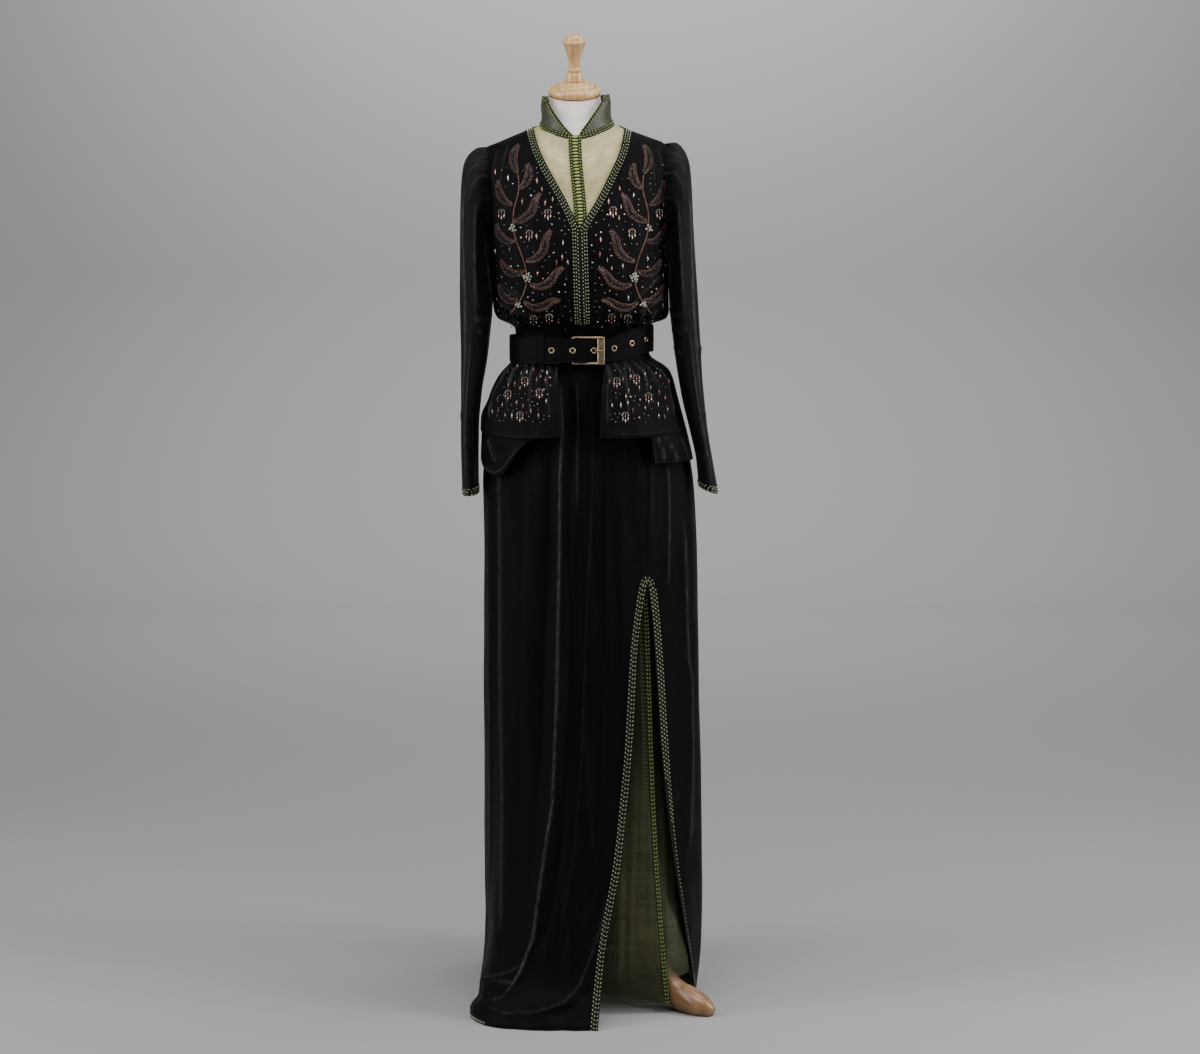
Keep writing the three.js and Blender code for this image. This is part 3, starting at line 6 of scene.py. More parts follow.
import bpy
import numpy as np
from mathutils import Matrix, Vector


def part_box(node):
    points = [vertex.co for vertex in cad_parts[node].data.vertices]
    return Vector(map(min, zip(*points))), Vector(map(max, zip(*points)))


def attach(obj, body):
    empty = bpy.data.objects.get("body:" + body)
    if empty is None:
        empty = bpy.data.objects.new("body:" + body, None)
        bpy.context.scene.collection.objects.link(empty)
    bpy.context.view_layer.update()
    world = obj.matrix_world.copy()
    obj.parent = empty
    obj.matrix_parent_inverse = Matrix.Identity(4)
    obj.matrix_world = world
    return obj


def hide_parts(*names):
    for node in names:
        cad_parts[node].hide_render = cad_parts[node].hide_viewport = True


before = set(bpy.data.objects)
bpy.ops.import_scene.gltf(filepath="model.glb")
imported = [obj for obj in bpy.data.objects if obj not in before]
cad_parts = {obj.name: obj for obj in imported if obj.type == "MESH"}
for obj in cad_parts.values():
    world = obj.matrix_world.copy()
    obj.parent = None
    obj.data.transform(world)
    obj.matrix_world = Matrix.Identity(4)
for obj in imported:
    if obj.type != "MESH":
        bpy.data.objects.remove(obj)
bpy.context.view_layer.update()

MM = 0.001
RAD = math.pi / 180
PI = math.pi
# thicknesses: SHEER is organza as it is drawn, and ORGANZA is the room that its layer takes
VELVET, ORGANZA, SHEER, COLLAR_WALL = 1.6, 1.0, 0.35, 1.8
GAP, SEAM = 0.3, 0.3
# heights above the floor
NECK_BACK, V_POINT, UNDERARM, WAIST, PEPLUM_HEM, SLIT_TOP, HEM = 1482, 1313, 1292, 1111, 971, 726, 0.9
# the axis that every layer of cloth goes round
GARMENT_MIDDLE = (9.0, -20.0)
# the pole's place in the tables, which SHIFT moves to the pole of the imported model
STAND_X, STAND_Y = 30, -18
pole_low, pole_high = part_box("pole")
SHIFT = np.array([
    (pole_low[0] + pole_high[0]) / 2 - STAND_X * MM,
    (pole_low[1] + pole_high[1]) / 2 - STAND_Y * MM,
    0.0,
])
rng = np.random.default_rng(7)


# ---------- tables ----------
# A ring is one horizontal section: its extent to the left, right, front and back, where its two
# halves meet, and how square it is, 2 being an ellipse.
def table(columns, *rows):
    """Named columns, the first one being the key, with the rows sorted by it."""
    return dict(zip(columns.split(), np.array(sorted(rows), dtype=float).T))


RING = "z left right front back mid_y square"
BODICE = table(
    RING,
    (1484, -64, 69, -78, 38, -20, 2.2), (1478, -74, 79, -80, 40, -20, 2.2),
    (1470, -93, 100, -83, 42, -20, 2.2), (1462, -112, 122, -86, 45, -20, 2.25),
    (1454, -131, 143, -90, 48, -20, 2.3), (1446, -149, 151, -93, 52, -20, 2.3),
    (1435, -153, 154, -98, 56, -20, 2.35), (1400, -154, 155, -112, 64, -20, 2.4),
    (1350, -152, 154, -128, 74, -20, 2.3), (1300, -149, 153, -141, 80, -20, 2.2),
    (1260, -146, 153, -146, 80, -20, 2.15), (1209, -142, 153, -143, 76, -20, 2.2),
    (1175, -138, 154, -134, 74, -20, 2.25), (1163, -132, 150, -127, 71, -20, 2.25),
    (1152, -110, 122.5, -113, 64, -20, 2.25), (1146, -103, 118.5, -107, 61, -20, 2.25),
    (1111, -100, 116, -103, 58, -20, 2.25),
)
SKIRT = table(
    RING,
    (1111, -100, 116, -103, 58, -20, 2.25), (1086, -102.8, 119.5, -104.4, 60.5, -20, 2.25),
    (1060, -113, 133, -108, 68, -20, 2.2), (1000, -136, 165, -116, 86, -18, 2.2),
    (940, -153, 187, -123, 101, -16, 2.25), (880, -158, 196, -128, 110, -15, 2.3),
    (739, -157, 203, -134, 130, -10, 2.3), (500, -158, 208, -147, 166, 0, 2.3),
    (340, -159, 211, -163, 203, 8, 2.25), (200, -160, 212, -186, 238, 14, 2.2),
    (110, -162, 210, -205, 262, 18, 2.25), (60, -166, 207, -219, 276, 22, 2.5),
    (40, -176, 205, -229, 284, 25, 3.5), (20, -181, 203, -239, 292, 25, 3.9),
    (5, -184, 202, -249, 298, 25, 4.0),
)
PEPLUM = table(
    RING,
    (1111, -107.6, 123.4, -110.4, 65.8, -20, 2.25), (1104, -107.6, 123.8, -110.4, 65.8, -20, 2.25),
    (1099, -108.5, 126, -110.6, 66.4, -20, 2.25), (1089.5, -111, 138, -111.2, 67.6, -20, 2.25),
    (1083, -116, 148, -114, 71, -20, 2.2), (1075, -124, 156, -119, 76, -20, 2.2),
    (1055, -137, 165, -127, 86, -19, 2.15), (1031, -148, 172, -136, 100, -18, 2.15),
    (995, -162, 182, -146, 112, -16, 2.2), (965, -163, 190, -151, 119, -15, 2.2),
    (925, -164, 199, -150, 126, -15, 2.25), (890, -164, 204, -148, 130, -15, 2.25),
)
UNDERSKIRT = table(
    RING,
    (1111, -98, 114, -101, 56, -20, 2.25), (1086, -100, 116, -101.8, 57.5, -20, 2.25),
    (1060, -109, 129, -104, 62, -20, 2.2), (1000, -130, 158, -111, 80, -18, 2.2),
    (940, -146, 179, -117, 94, -16, 2.25), (880, -151, 187, -121, 102, -15, 2.3),
    (739, -150, 194, -125, 118, -12, 2.3), (500, -150, 198, -132, 130, -8, 2.4),
    (200, -150, 200, -142, 150, -4, 2.8), (120, -150, 200, -147, 155, -3, 3.6),
    (60, -150, 199, -152, 158, -2, 4.6), (12, -150, 198, -152, 160, -2, 4.6),
)
FORM = table(
    RING,
    (1533, -46, 39, -61, 21, -20, 2), (1520, -48, 41.5, -63, 23, -20, 2),
    (1506, -49, 43.5, -65, 25, -20, 2), (1493, -50.5, 47, -67, 27, -20, 2),
    (1484.5, -53, 53, -70, 29.5, -20, 2.1), (1477.5, -60, 65, -74, 33, -20, 2.2),
    (1472, -70, 75, -76.4, 35.4, -20, 2.2), (1468.2, -89, 96, -79.4, 38.4, -20, 2.2),
    (1460.2, -107, 117, -82.4, 41.4, -20, 2.25), (1452.2, -126, 137, -86.4, 44.4, -20, 2.3),
    (1440, -141, 143, -90, 48, -20, 2.3), (1428, -145, 146, -96, 53, -20, 2.35),
    (1400, -146, 147, -108.2, 60.2, -20, 2.4), (1350, -143, 146, -124.2, 70.2, -20, 2.3),
    (1300, -139, 146, -136.6, 76, -20, 2.2), (1260, -133, 142, -138, 72, -20, 2.15),
    (1200, -116, 130, -119, 62, -20, 2.15), (1150, -98, 112, -101, 54, -20, 2.2),
    (1111, -92, 106, -93, 49, -20, 2.25), (1086, -94, 108.5, -93, 50, -20, 2.25),
    (1060, -100, 119, -95, 54, -20, 2.2), (1000, -121, 148, -104, 73, -18, 2.2),
    (940, -137, 168, -110, 87, -16, 2.2), (880, -142, 175, -113, 94, -15, 2.2),
    (815, -137, 170, -107, 87, -14, 2.2), (800, -127, 160, -97, 77, -14, 2.2),
)
ARMHOLE = table(
    "z share",
    (1484, 1), (1448, 1), (1436, 0.965), (1410, 0.945), (1370, 0.94), (1330, 0.95),
    (1305, 0.975), (1292, 1), (1100, 1),
)
V_NECK = table(
    "z left right", (1478, -72, 80), (1441, -60, 72), (1404, -42, 56), (1360, -17, 34), (1313, 5.3, 5.8))
SLIT = table(
    "z left right",
    (1111, 66, 66), (1000, 106, 106), (900, 120, 120), (726, 117, 117), (708, 113.5, 120.5),
    (597, 99, 131), (449, 91, 140.5), (269, 75, 161), (121, 49, 184.5), (60, 42, 194.5), (5, 36, 201),
)
UNDER_EDGE = table(
    "z left right", (1111, 60, 50), (693, 119, 104), (443, 128, 111), (254, 137, 118), (114, 148, 128),
    (12, 157, 137))
PEPLUM_EDGE = table("z left right", (1111, -34, 48), (1078, -31, 46), (1031, -27, 41), (960, -24, 39))
SLEEVE = "step out_x out_z in_x in_z depth mid_y"
SLEEVES = {
    "left": table(
        SLEEVE,
        (1, -162, 1446, -152.5, 1294, 52, -20), (2, -178, 1436, -153.5, 1292, 59, -20),
        (3, -189, 1414, -154, 1289, 64, -20), (4, -193, 1378, -154, 1284, 66, -21),
        (5, -194, 1325, -153, 1270, 67, -21), (6, -194, 1255, -151, 1240, 66, -22),
        (7, -194, 1190, -146, 1185, 64, -23), (8, -193, 1110, -149, 1108, 61, -24),
        (9, -194, 1040, -160, 1040, 58, -25), (10, -194, 975, -166, 978, 54, -26),
        (11, -193, 915, -167, 918, 50, -27), (12, -192, 878, -167, 882, 48, -28),
        (13, -191, 866, -167, 868, 48, -28),
    ),
    "right": table(
        SLEEVE,
        (1, 164, 1454, 156.5, 1294, 52, -20), (2, 180, 1440, 157.5, 1292, 59, -20),
        (3, 189, 1413, 158, 1289, 64, -20), (4, 192, 1378, 158, 1284, 66, -21),
        (5, 194, 1320, 158, 1270, 67, -21), (6, 198, 1250, 158, 1238, 66, -22),
        (7, 202, 1185, 159, 1178, 64, -23), (8, 207, 1108, 164.5, 1108, 61, -24),
        (9, 213, 1035, 176, 1036, 58, -25), (10, 219, 975, 190, 980, 54, -26),
        (11, 228, 920, 202, 928, 50, -27), (12, 235, 882, 206, 892, 48, -28),
        (13, 237, 868, 207, 880, 48, -28),
    ),
}
COLLAR = table(
    "t left right front back lift square",
    (0, -61, 62, -84.5, 34, 0, 2.4), (0.35, -57, 57, -78, 33, 18, 2.2),
    (0.7, -59, 57, -74, 34, 37, 2.1), (1, -55, 52, -70, 32, 52, 2),
)
# broad pleats: the angle of each ridge at the top and at the hem, its height and half width in degrees
SKIRT_PLEATS = [
    (-100, -118, 7, 9), (-84, -86, -5, 8), (-72, -64, 5, 7), (-128, -136, 5, 10), (-152, -158, -4, 9),
    (-22, -14, 4, 8), (22, 26, 6, 10), (48, 50, -7, 10), (72, 72, 8, 10), (96, 98, -6, 10),
    (120, 122, 8, 10), (146, 144, -6, 10),
]
PEPLUM_PLEATS = [
    (-158, -160, 4, 9), (-122, -126, -4, 8), (-100, -102, 3, 8), (-58, -52, 4, 8), (-30, -26, 6, 6),
    (18, 20, 6, 9), (46, 48, -5, 9), (74, 76, 7, 9), (104, 106, -5, 9), (132, 134, 6, 9),
]


def curve(key, values, at):
    """Reads values, of any shape per row, smoothly and with no overshoot between the rows."""
    key, values, at = (np.asarray(v, dtype=float) for v in (key, values, at))
    tail = (1,) * (values.ndim - 1)
    flat = np.diff(values, axis=0) / np.diff(key).reshape((-1,) + tail)
    slope = np.concatenate([flat[:1], np.zeros_like(flat[1:]), flat[-1:]])
    product = flat[:-1] * flat[1:]
    total = np.where(product > 0, flat[:-1] + flat[1:], 1)
    slope[1:-1] = np.where(product > 0, 2 * product / total, 0)
    at = np.clip(at, key[0], key[-1])
    i = np.clip(np.searchsorted(key, at, side="right") - 1, 0, len(key) - 2)
    span = (key[i + 1] - key[i]).reshape(at.shape + tail)
    t = (at - key[i]).reshape(at.shape + tail) / span
    return (
        (2 * t**3 - 3 * t**2 + 1) * values[i] + (t**3 - 2 * t**2 + t) * span * slope[i]
        + (3 * t**2 - 2 * t**3) * values[i + 1] + (t**3 - t**2) * span * slope[i + 1]
    )


def read(rows, at):
    names = list(rows)
    return {name: curve(rows[names[0]], rows[name], at) for name in names[1:]}


def mix(a, b, t):
    return a + (b - a) * t


def smooth(low, high, value):
    t = np.clip((np.asarray(value, dtype=float) - low) / (high - low), 0, 1)
    return t * t * (3 - 2 * t)


def unit(vectors):
    """The vectors at a length of one."""
    return vectors / np.maximum(np.linalg.norm(vectors, axis=-1, keepdims=True), 1e-9)


def distances(line):
    """How far along a line of points each of them is."""
    return np.concatenate([[0], np.cumsum(np.linalg.norm(np.diff(line, axis=0), axis=1))])


def points_at(at, along, values):
    """Points or vectors between those given, read at distances along their line."""
    return np.stack([np.interp(at, along, column) for column in values.T], axis=-1)


# ---------- horizontal sections ----------
def ring_point(ring, angle, z, out=0.0):
    c, s = np.cos(angle), np.sin(angle)
    mid_x, half_x = (ring["left"] + ring["right"]) / 2, (ring["right"] - ring["left"]) / 2
    half_y = np.where(s < 0, ring["mid_y"] - ring["front"], ring["back"] - ring["mid_y"])
    power = ring["square"]
    radius = ((np.abs(c) / half_x) ** power + (np.abs(s) / half_y) ** power) ** (-1 / power) + out
    return np.stack([mid_x + radius * c, ring["mid_y"] + radius * s, z + 0 * radius], axis=-1)


def angle_at_x(ring, x, face=-1):
    """The angle at which a section's front (-1) or back (1) passes x."""
    mid_x, half_x = (ring["left"] + ring["right"]) / 2, (ring["right"] - ring["left"]) / 2
    half_y = ring["mid_y"] - ring["front"] if face < 0 else ring["back"] - ring["mid_y"]
    share = np.minimum(1, np.abs(x - mid_x) / half_x)
    dy = half_y * (1 - share ** ring["square"]) ** (1 / ring["square"])
    return np.arctan2(face * dy, x - mid_x)


def turn_between(angle, centre):
    return np.arctan2(np.sin(angle - centre), np.cos(angle - centre))


def pleats(rows, angle, down):
    height = 0.0
    for top, hem, high, spread in rows:
        away = turn_between(angle, mix(top, hem, down) * RAD) / (spread * RAD)
        height = height + high * np.exp(-away * away)
    return height


def bodice(angle, z, out=0.0):
    return ring_point(read(BODICE, z), angle, z, out)


def skirt(angle, z, out=0.0):
    down = smooth(WAIST, 120, z)
    folded = pleats(SKIRT_PLEATS, angle, down) * smooth(1000, 700, z) * smooth(HEM, 90, z)
    return ring_point(read(SKIRT, z), angle, z, folded + out)


def peplum(angle, z, out=0.0):
    folded = pleats(PEPLUM_PLEATS, angle, 0.5) * smooth(1070, 980, z) * 0.6
    return ring_point(read(PEPLUM, z), angle, z, folded + out)


def underskirt(angle, z, out=0.0):
    return ring_point(read(UNDERSKIRT, z), angle, z, out)


# ---------- creases ----------
def crease_height(x, z, creases):
    """Soft ridges (height above 0) and troughs along paths of (x, z), each fading out at its ends.

    A crease is (path, half width, height), and its profile is a rounded crest on a wider skirt.
    """
    total = np.zeros_like(x)
    for path, width, height in creases:
        points = np.array(path, dtype=float)
        lengths = np.linalg.norm(np.diff(points, axis=0), axis=1)
        whole = lengths.sum()
        best = np.full(x.shape, 1e9)
        along = np.zeros_like(x)
        walked = 0.0
        for a, b, length in zip(points[:-1], points[1:], lengths):
            t = ((x - a[0]) * (b[0] - a[0]) + (z - a[1]) * (b[1] - a[1])) / length**2
            t = np.clip(t, 0, 1)
            gap = np.hypot(x - a[0] - t * (b[0] - a[0]), z - a[1] - t * (b[1] - a[1]))
            closer = gap < best
            best = np.where(closer, gap, best)
            along = np.where(closer, walked + t * length, along)
            walked += length
        run_out = min(0.22 * whole, 60)
        fade = smooth(0, run_out, along) * smooth(0, run_out, whole - along)
        total += height * fade * np.exp(-((best / width) ** 1.35))
    return total


def crest_highlight(x, z, creases):
    """A painted highlight along the crests of the ridges: 0 for none, about 1 for grey."""
    ridges = [(path, 0.2 * wide, high / 6.5 * min(1, 7 / wide)) for path, wide, high in creases if high > 0]
    return crease_height(x, z, ridges)


def waves(x, z, sets):
    """Gentle uneven ripples: (wave length along x, along z, phase, height) for each set."""
    total = np.zeros_like(x)
    for length_x, length_z, phase, height in sets:
        bend = 0.6 * np.sin(z / 97 + phase) + 0.4 * np.sin(z / 41 + 2.3 * phase)
        total += height * np.sin(x / length_x * 2 * PI + z / length_z * 2 * PI + phase + bend)
    return total


# ---------- meshes ----------
def grid_normals(points, wrap):
    if wrap:
        across = np.roll(points, -1, axis=1) - np.roll(points, 1, axis=1)
    else:
        across = np.gradient(points, axis=1)
    along = np.gradient(points, axis=0)
    return unit(np.cross(across, along))


def outward(points, wrap=False, centre=GARMENT_MIDDLE):
    """A grid's normals, turned as one so that they point away from the garment's middle line."""
    normals = grid_normals(points, wrap)
    away = points[..., :2] - np.array(centre)
    return normals if (normals[..., :2] * away).sum() > 0 else -normals


def make_mesh(name, vertices, faces, material, uv=None, flat_from=None):
    """A smooth-shaded mesh whose faces from flat_from on, such as cut edges, are shaded flat."""
    mesh = bpy.data.meshes.new(name)
    mesh.from_pydata((np.asarray(vertices) * MM + SHIFT).tolist(), [], [list(f) for f in faces])
    shade = np.ones(len(mesh.polygons), dtype=bool)
    if flat_from is not None:
        shade[flat_from:] = False
    mesh.polygons.foreach_set("use_smooth", shade)
    if uv is not None:
        layer = mesh.uv_layers.new(name="UVMap")
        loops = np.empty(len(mesh.loops), dtype=np.int32)
        mesh.loops.foreach_get("vertex_index", loops)
        layer.data.foreach_set("uv", np.asarray(uv, dtype=np.float32)[loops].ravel())
    mesh.materials.append(material)
    mesh.update()
    made = bpy.data.objects.new(name, mesh)
    bpy.context.scene.collection.objects.link(made)
    return made


def add_piece(name, vertices, faces, material, slot, own_node=True, **looks):
    """A piece of the garment or its form. With own_node it takes the place of the node of its name."""
    piece = make_mesh(name, vertices, faces, material, **looks)
    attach(piece, "root")
    if own_node:
        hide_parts(name)
    return piece


# each shell's grid of points and its normals, by name
surfaces = {}


def shell(name, points, thickness, material, slot, wrap=False, normals=None, offset=0.0, nap=None):
    """A closed thin shell of cloth about a grid of points. UVs are real distances in metres.

    nap, a number at each point, is the painted highlight on velvet's crests, and how dense organza looks.
    """
    if normals is None:
        normals = outward(points, wrap)
    surfaces[name] = (points, normals)
    rows, columns = points.shape[:2]
    outer = points + normals * (offset + thickness / 2)
    inner = points + normals * (offset - thickness / 2)
    step_x = np.linalg.norm(np.diff(points, axis=1), axis=2).mean(axis=0)
    step_z = np.linalg.norm(np.diff(points, axis=0), axis=2).mean(axis=1)
    u = np.concatenate([[0], np.cumsum(step_x)]) * MM
    v = np.concatenate([[0], np.cumsum(step_z)]) * MM
    uv = np.stack(np.broadcast_arrays(u[None, :], -v[:, None]), axis=-1).reshape(-1, 2)
    back = rows * columns
    grid = np.arange(back).reshape(rows, columns)
    if wrap:
        grid = np.concatenate([grid, grid[:, :1]], axis=1)
    quads = np.stack([grid[:-1, :-1], grid[:-1, 1:], grid[1:, 1:], grid[1:, :-1]], axis=-1).reshape(-1, 4)
    rims = [(grid[0, :-1], grid[0, 1:]), (grid[-1, 1:], grid[-1, :-1])]
    if not wrap:
        rims += [(grid[1:, 0], grid[:-1, 0]), (grid[:-1, -1], grid[1:, -1])]
    sides = [np.stack([near, far, far + back, near + back], axis=-1) for near, far in rims]
    corner = np.cross(points[0, 1] - points[0, 0], points[1, 0] - points[0, 0])
    if np.dot(corner, normals[0, 0]) > 0:
        quads = quads[:, ::-1]
        sides = [side[:, ::-1] for side in sides]
    faces = np.concatenate([quads, quads[:, ::-1] + back] + sides)[:, ::-1]
    vertices = np.concatenate([outer.reshape(-1, 3), inner.reshape(-1, 3)])
    piece = add_piece(
        name, vertices, faces, material, slot, uv=np.concatenate([uv, uv]), flat_from=2 * len(quads))
    if nap is not None:
        layer = piece.data.attributes.new("nap", "FLOAT", "POINT")
        layer.data.foreach_set("value", np.tile(np.asarray(nap, dtype=np.float32).ravel(), 2))


def joined(name, parts, material, slot):
    """One piece from (vertices, faces) parts, which has no node of its own."""
    vertices, faces, count = [], [], 0
    for part_vertices, part_faces in parts:
        vertices.append(part_vertices)
        faces += [[k + count for k in face] for face in part_faces]
        count += len(part_vertices)
    add_piece(name, np.concatenate(vertices), faces, material, slot, own_node=False)


def ring_faces(rows, sides, closed=False):
    """Faces between neighbouring rings of points. closed joins the last ring to the first as well."""
    faces = []
    for i in range(rows if closed else rows - 1):
        following = (i + 1) % rows
        for k in range(sides):
            n = (k + 1) % sides
            faces.append([i * sides + k, i * sides + n, following * sides + n, following * sides + k])
    return faces


def end_caps(rows, sides):
    return [list(range(sides))[::-1], [(rows - 1) * sides + k for k in range(sides)]]


def spin(profile, sides, cap=True):
    """A lathe body about +Z from (radius, height) points."""
    turn = np.linspace(0, 2 * PI, sides, endpoint=False)
    vertices = [
        (radius * math.cos(a), radius * math.sin(a), height) for radius, height in profile for a in turn]
    faces = ring_faces(len(profile), sides)
    if cap:
        faces += end_caps(len(profile), sides)
    return np.array(vertices, dtype=float), faces


# ---------- materials ----------
def node_material(name, base, roughness, **sockets):
    """A Principled material with its node tree, and its sockets set by name."""
    material = bpy.data.materials.new(name)
    material.use_nodes = True
    shader = material.node_tree.nodes["Principled BSDF"]
    shader.inputs["Base Color"].default_value = (*base, 1)
    shader.inputs["Roughness"].default_value = roughness
    for socket, value in sockets.items():
        shader.inputs[socket.replace("_", " ")].default_value = value
    return material, material.node_tree, shader


def add_node(tree, kind, **settings):
    made = tree.nodes.new(kind)
    for key, value in settings.items():
        if key in made.inputs:
            made.inputs[key].default_value = value
        else:
            setattr(made, key, value)
    return made


def scaled_coordinates(tree, source, scale=(1, 1, 1)):
    place = add_node(tree, "ShaderNodeTexCoord")
    stretch = add_node(tree, "ShaderNodeMapping")
    stretch.inputs["Scale"].default_value = scale
    tree.links.new(place.outputs[source], stretch.inputs["Vector"])
    return stretch.outputs["Vector"]


def noise(tree, vector, scale, detail, rough=0.5, distort=0.0):
    made = add_node(
        tree, "ShaderNodeTexNoise", Scale=scale, Detail=detail, Roughness=rough, Distortion=distort)
    tree.links.new(vector, made.inputs["Vector"])
    return made.outputs["Fac"]


def wave(tree, vector, scale, direction, distort, detail=2.0):
    made = add_node(tree, "ShaderNodeTexWave", Scale=scale, Distortion=distort, Detail=detail)
    made.bands_direction = direction
    tree.links.new(vector, made.inputs["Vector"])
    return made.outputs["Fac"]


def arithmetic(tree, operation, a, b):
    made = tree.nodes.new("ShaderNodeMath")
    made.operation = operation
    for socket, value in zip(made.inputs, (a, b)):
        if isinstance(value, (int, float)):
            socket.default_value = value
        else:
            tree.links.new(value, socket)
    return made.outputs[0]


def ramp(tree, factor, *stops):
    """A colour ramp from (position, (r, g, b)) stops."""
    made = tree.nodes.new("ShaderNodeValToRGB")
    while len(made.color_ramp.elements) < len(stops):
        made.color_ramp.elements.new(0.5)
    for element, (position, colour) in zip(made.color_ramp.elements, stops):
        element.position = position
        element.color = (*colour, 1)
    tree.links.new(factor, made.inputs["Fac"])
    return made.outputs["Color"]


def paint(tree, shader, factor, *stops):
    tree.links.new(ramp(tree, factor, *stops), shader.inputs["Base Color"])


def span(tree, factor, low, high, out_low, out_high):
    made = add_node(tree, "ShaderNodeMapRange")
    for key, value in zip(("From Min", "From Max", "To Min", "To Max"), (low, high, out_low, out_high)):
        made.inputs[key].default_value = value
    tree.links.new(factor, made.inputs["Value"])
    return made.outputs["Result"]


def bump(tree, shader, height, distance, strength, after=None):
    made = add_node(tree, "ShaderNodeBump", Strength=strength, Distance=distance)
    tree.links.new(height, made.inputs["Height"])
    if after is not None:
        tree.links.new(after, made.inputs["Normal"])
    tree.links.new(made.outputs["Normal"], shader.inputs["Normal"])
    return made.outputs["Normal"]


def make_velvet(name, depth, wear_and_highlight_tone, sheen):
    """Silk velvet: a near-black pile greyed where crushed or stroked, and by a painted highlight on crests.
    """
    material, tree, shader = node_material(
        name, depth, 0.62, Sheen_Weight=sheen, Sheen_Roughness=0.25, Specular_IOR_Level=0.06)
    shader.inputs["Sheen Tint"].default_value = (0.88, 0.88, 0.9, 1)
    place = scaled_coordinates(tree, "UV")
    strokes = noise(tree, scaled_coordinates(tree, "UV", (260, 9, 1)), 1.0, 5.0, 0.66, 0.4)
    crushed = noise(tree, scaled_coordinates(tree, "UV", (44, 16, 1)), 1.0, 6.0, 0.7, 1.0)
    broad = noise(tree, scaled_coordinates(tree, "UV", (7, 2.4, 1)), 1.0, 3.0, 0.5, 0.5)
    nap = arithmetic(tree, "MULTIPLY", span(tree, strokes, 0.42, 0.7, 0.3, 2.2),
                     span(tree, crushed, 0.42, 0.72, 0.45, 2.4))
    nap = arithmetic(tree, "MULTIPLY", nap, span(tree, broad, 0.4, 0.68, 0.5, 1.7))
    # painted highlight: the "nap" attribute marks the crests of the folds, and lightens the colour and sheen
    # there
    crest = add_node(tree, "ShaderNodeAttribute", attribute_name="nap").outputs["Fac"]
    grain = noise(tree, scaled_coordinates(tree, "UV", (420, 60, 1)), 1.0, 3.0, 0.7)
    wear_and_highlight = arithmetic(tree, "MULTIPLY", crest, span(tree, grain, 0.36, 0.66, 0.25, 1.5))
    grey = arithmetic(tree, "ADD", arithmetic(tree, "MULTIPLY", nap, 0.017), wear_and_highlight)
    paint(tree, shader, grey, (0.02, depth), (1.0, wear_and_highlight_tone))
    tree.links.new(arithmetic(tree, "MULTIPLY", arithmetic(tree, "ADD", nap, wear_and_highlight), sheen),
                   shader.inputs["Sheen Weight"])
    pile = noise(tree, place, 2600, 2.0, 0.6)
    soft = bump(tree, shader, crushed, 0.003, 0.3)
    bump(tree, shader, pile, 0.0004, 0.5, soft)
    return material


def make_sheer(name, tone, light_tone, weave, alpha_low, alpha_high, sheen):
    """Silk organza: a fine plain weave with slubs, sheer, and denser where it lies in folds."""
    material, tree, shader = node_material(
        name, tone, 0.42, Sheen_Weight=sheen, Sheen_Roughness=0.4, Specular_IOR_Level=0.3)
    place = scaled_coordinates(tree, "UV")
    warp = wave(tree, place, weave, "X", 0.4)
    weft = wave(tree, place, weave, "Y", 0.4)
    threads = arithmetic(tree, "MAXIMUM", warp, weft)
    slub = noise(tree, scaled_coordinates(tree, "UV", (6, 60, 1)), 4.0, 4.0)
    cloud = noise(tree, place, 14.0, 3.0, 0.5, 0.8)
    uneven = arithmetic(tree, "MULTIPLY", arithmetic(tree, "ADD", slub, cloud), 0.5)
    paint(tree, shader, uneven, (0.36, tone), (0.64, light_tone))
    folded = add_node(tree, "ShaderNodeAttribute", attribute_name="nap").outputs["Fac"]
    solid = arithmetic(tree, "ADD", span(tree, threads, 0.0, 1.0, alpha_low, alpha_high),
                       arithmetic(tree, "MULTIPLY", folded, span(tree, slub, 0.35, 0.65, 0.8, 1.1)))
    tree.links.new(solid, shader.inputs["Alpha"])
    bump(tree, shader, threads, 0.0001, 0.2)
    return material


def make_satin(name, tone, light_tone):
    """Ribbed silk satin with a soft uneven lustre."""
    material, tree, shader = node_material(
        name, tone, 0.36, Sheen_Weight=0.06, Sheen_Roughness=0.3, Anisotropic=0.5)
    place = scaled_coordinates(tree, "UV")
    rib = wave(tree, place, 420, "Y", 0.6)
    cloud = noise(tree, place, 60.0, 4.0, 0.55, 0.6)
    paint(tree, shader, cloud, (0.34, tone), (0.68, light_tone))
    soft = bump(tree, shader, cloud, 0.001, 0.3)
    bump(tree, shader, rib, 0.0002, 0.5, soft)
    return material


def make_thread(name, tone, light_tone):
    """Twisted rayon thread: fine diagonal strands, with a painted highlight on their crests."""
    material, tree, shader = node_material(name, tone, 0.5, Sheen_Weight=0.12, Sheen_Roughness=0.35)
    place = scaled_coordinates(tree, "Object")
    strands = wave(tree, place, 900.0, "DIAGONAL", 1.0, 1.0)
    fleck = noise(tree, place, 180.0, 2.0)
    twist = arithmetic(tree, "MULTIPLY", arithmetic(tree, "ADD", strands, fleck), 0.5)
    paint(tree, shader, twist, (0.25, tone), (0.75, light_tone))
    bump(tree, shader, strands, 0.0003, 0.6)
    return material


def make_cord_ground(name, tone, light_tone):
    """The ground of a braid: close dark cords running along it."""
    material, tree, shader = node_material(name, tone, 0.7, Sheen_Weight=0.02, Specular_IOR_Level=0.12)
    place = scaled_coordinates(tree, "UV")
    cords = wave(tree, place, 190, "DIAGONAL", 0.5)
    fleck = noise(tree, place, 500.0, 2.0)
    paint(tree, shader, fleck, (0.35, tone), (0.7, light_tone))
    bump(tree, shader, cords, 0.0006, 0.7)
    return material


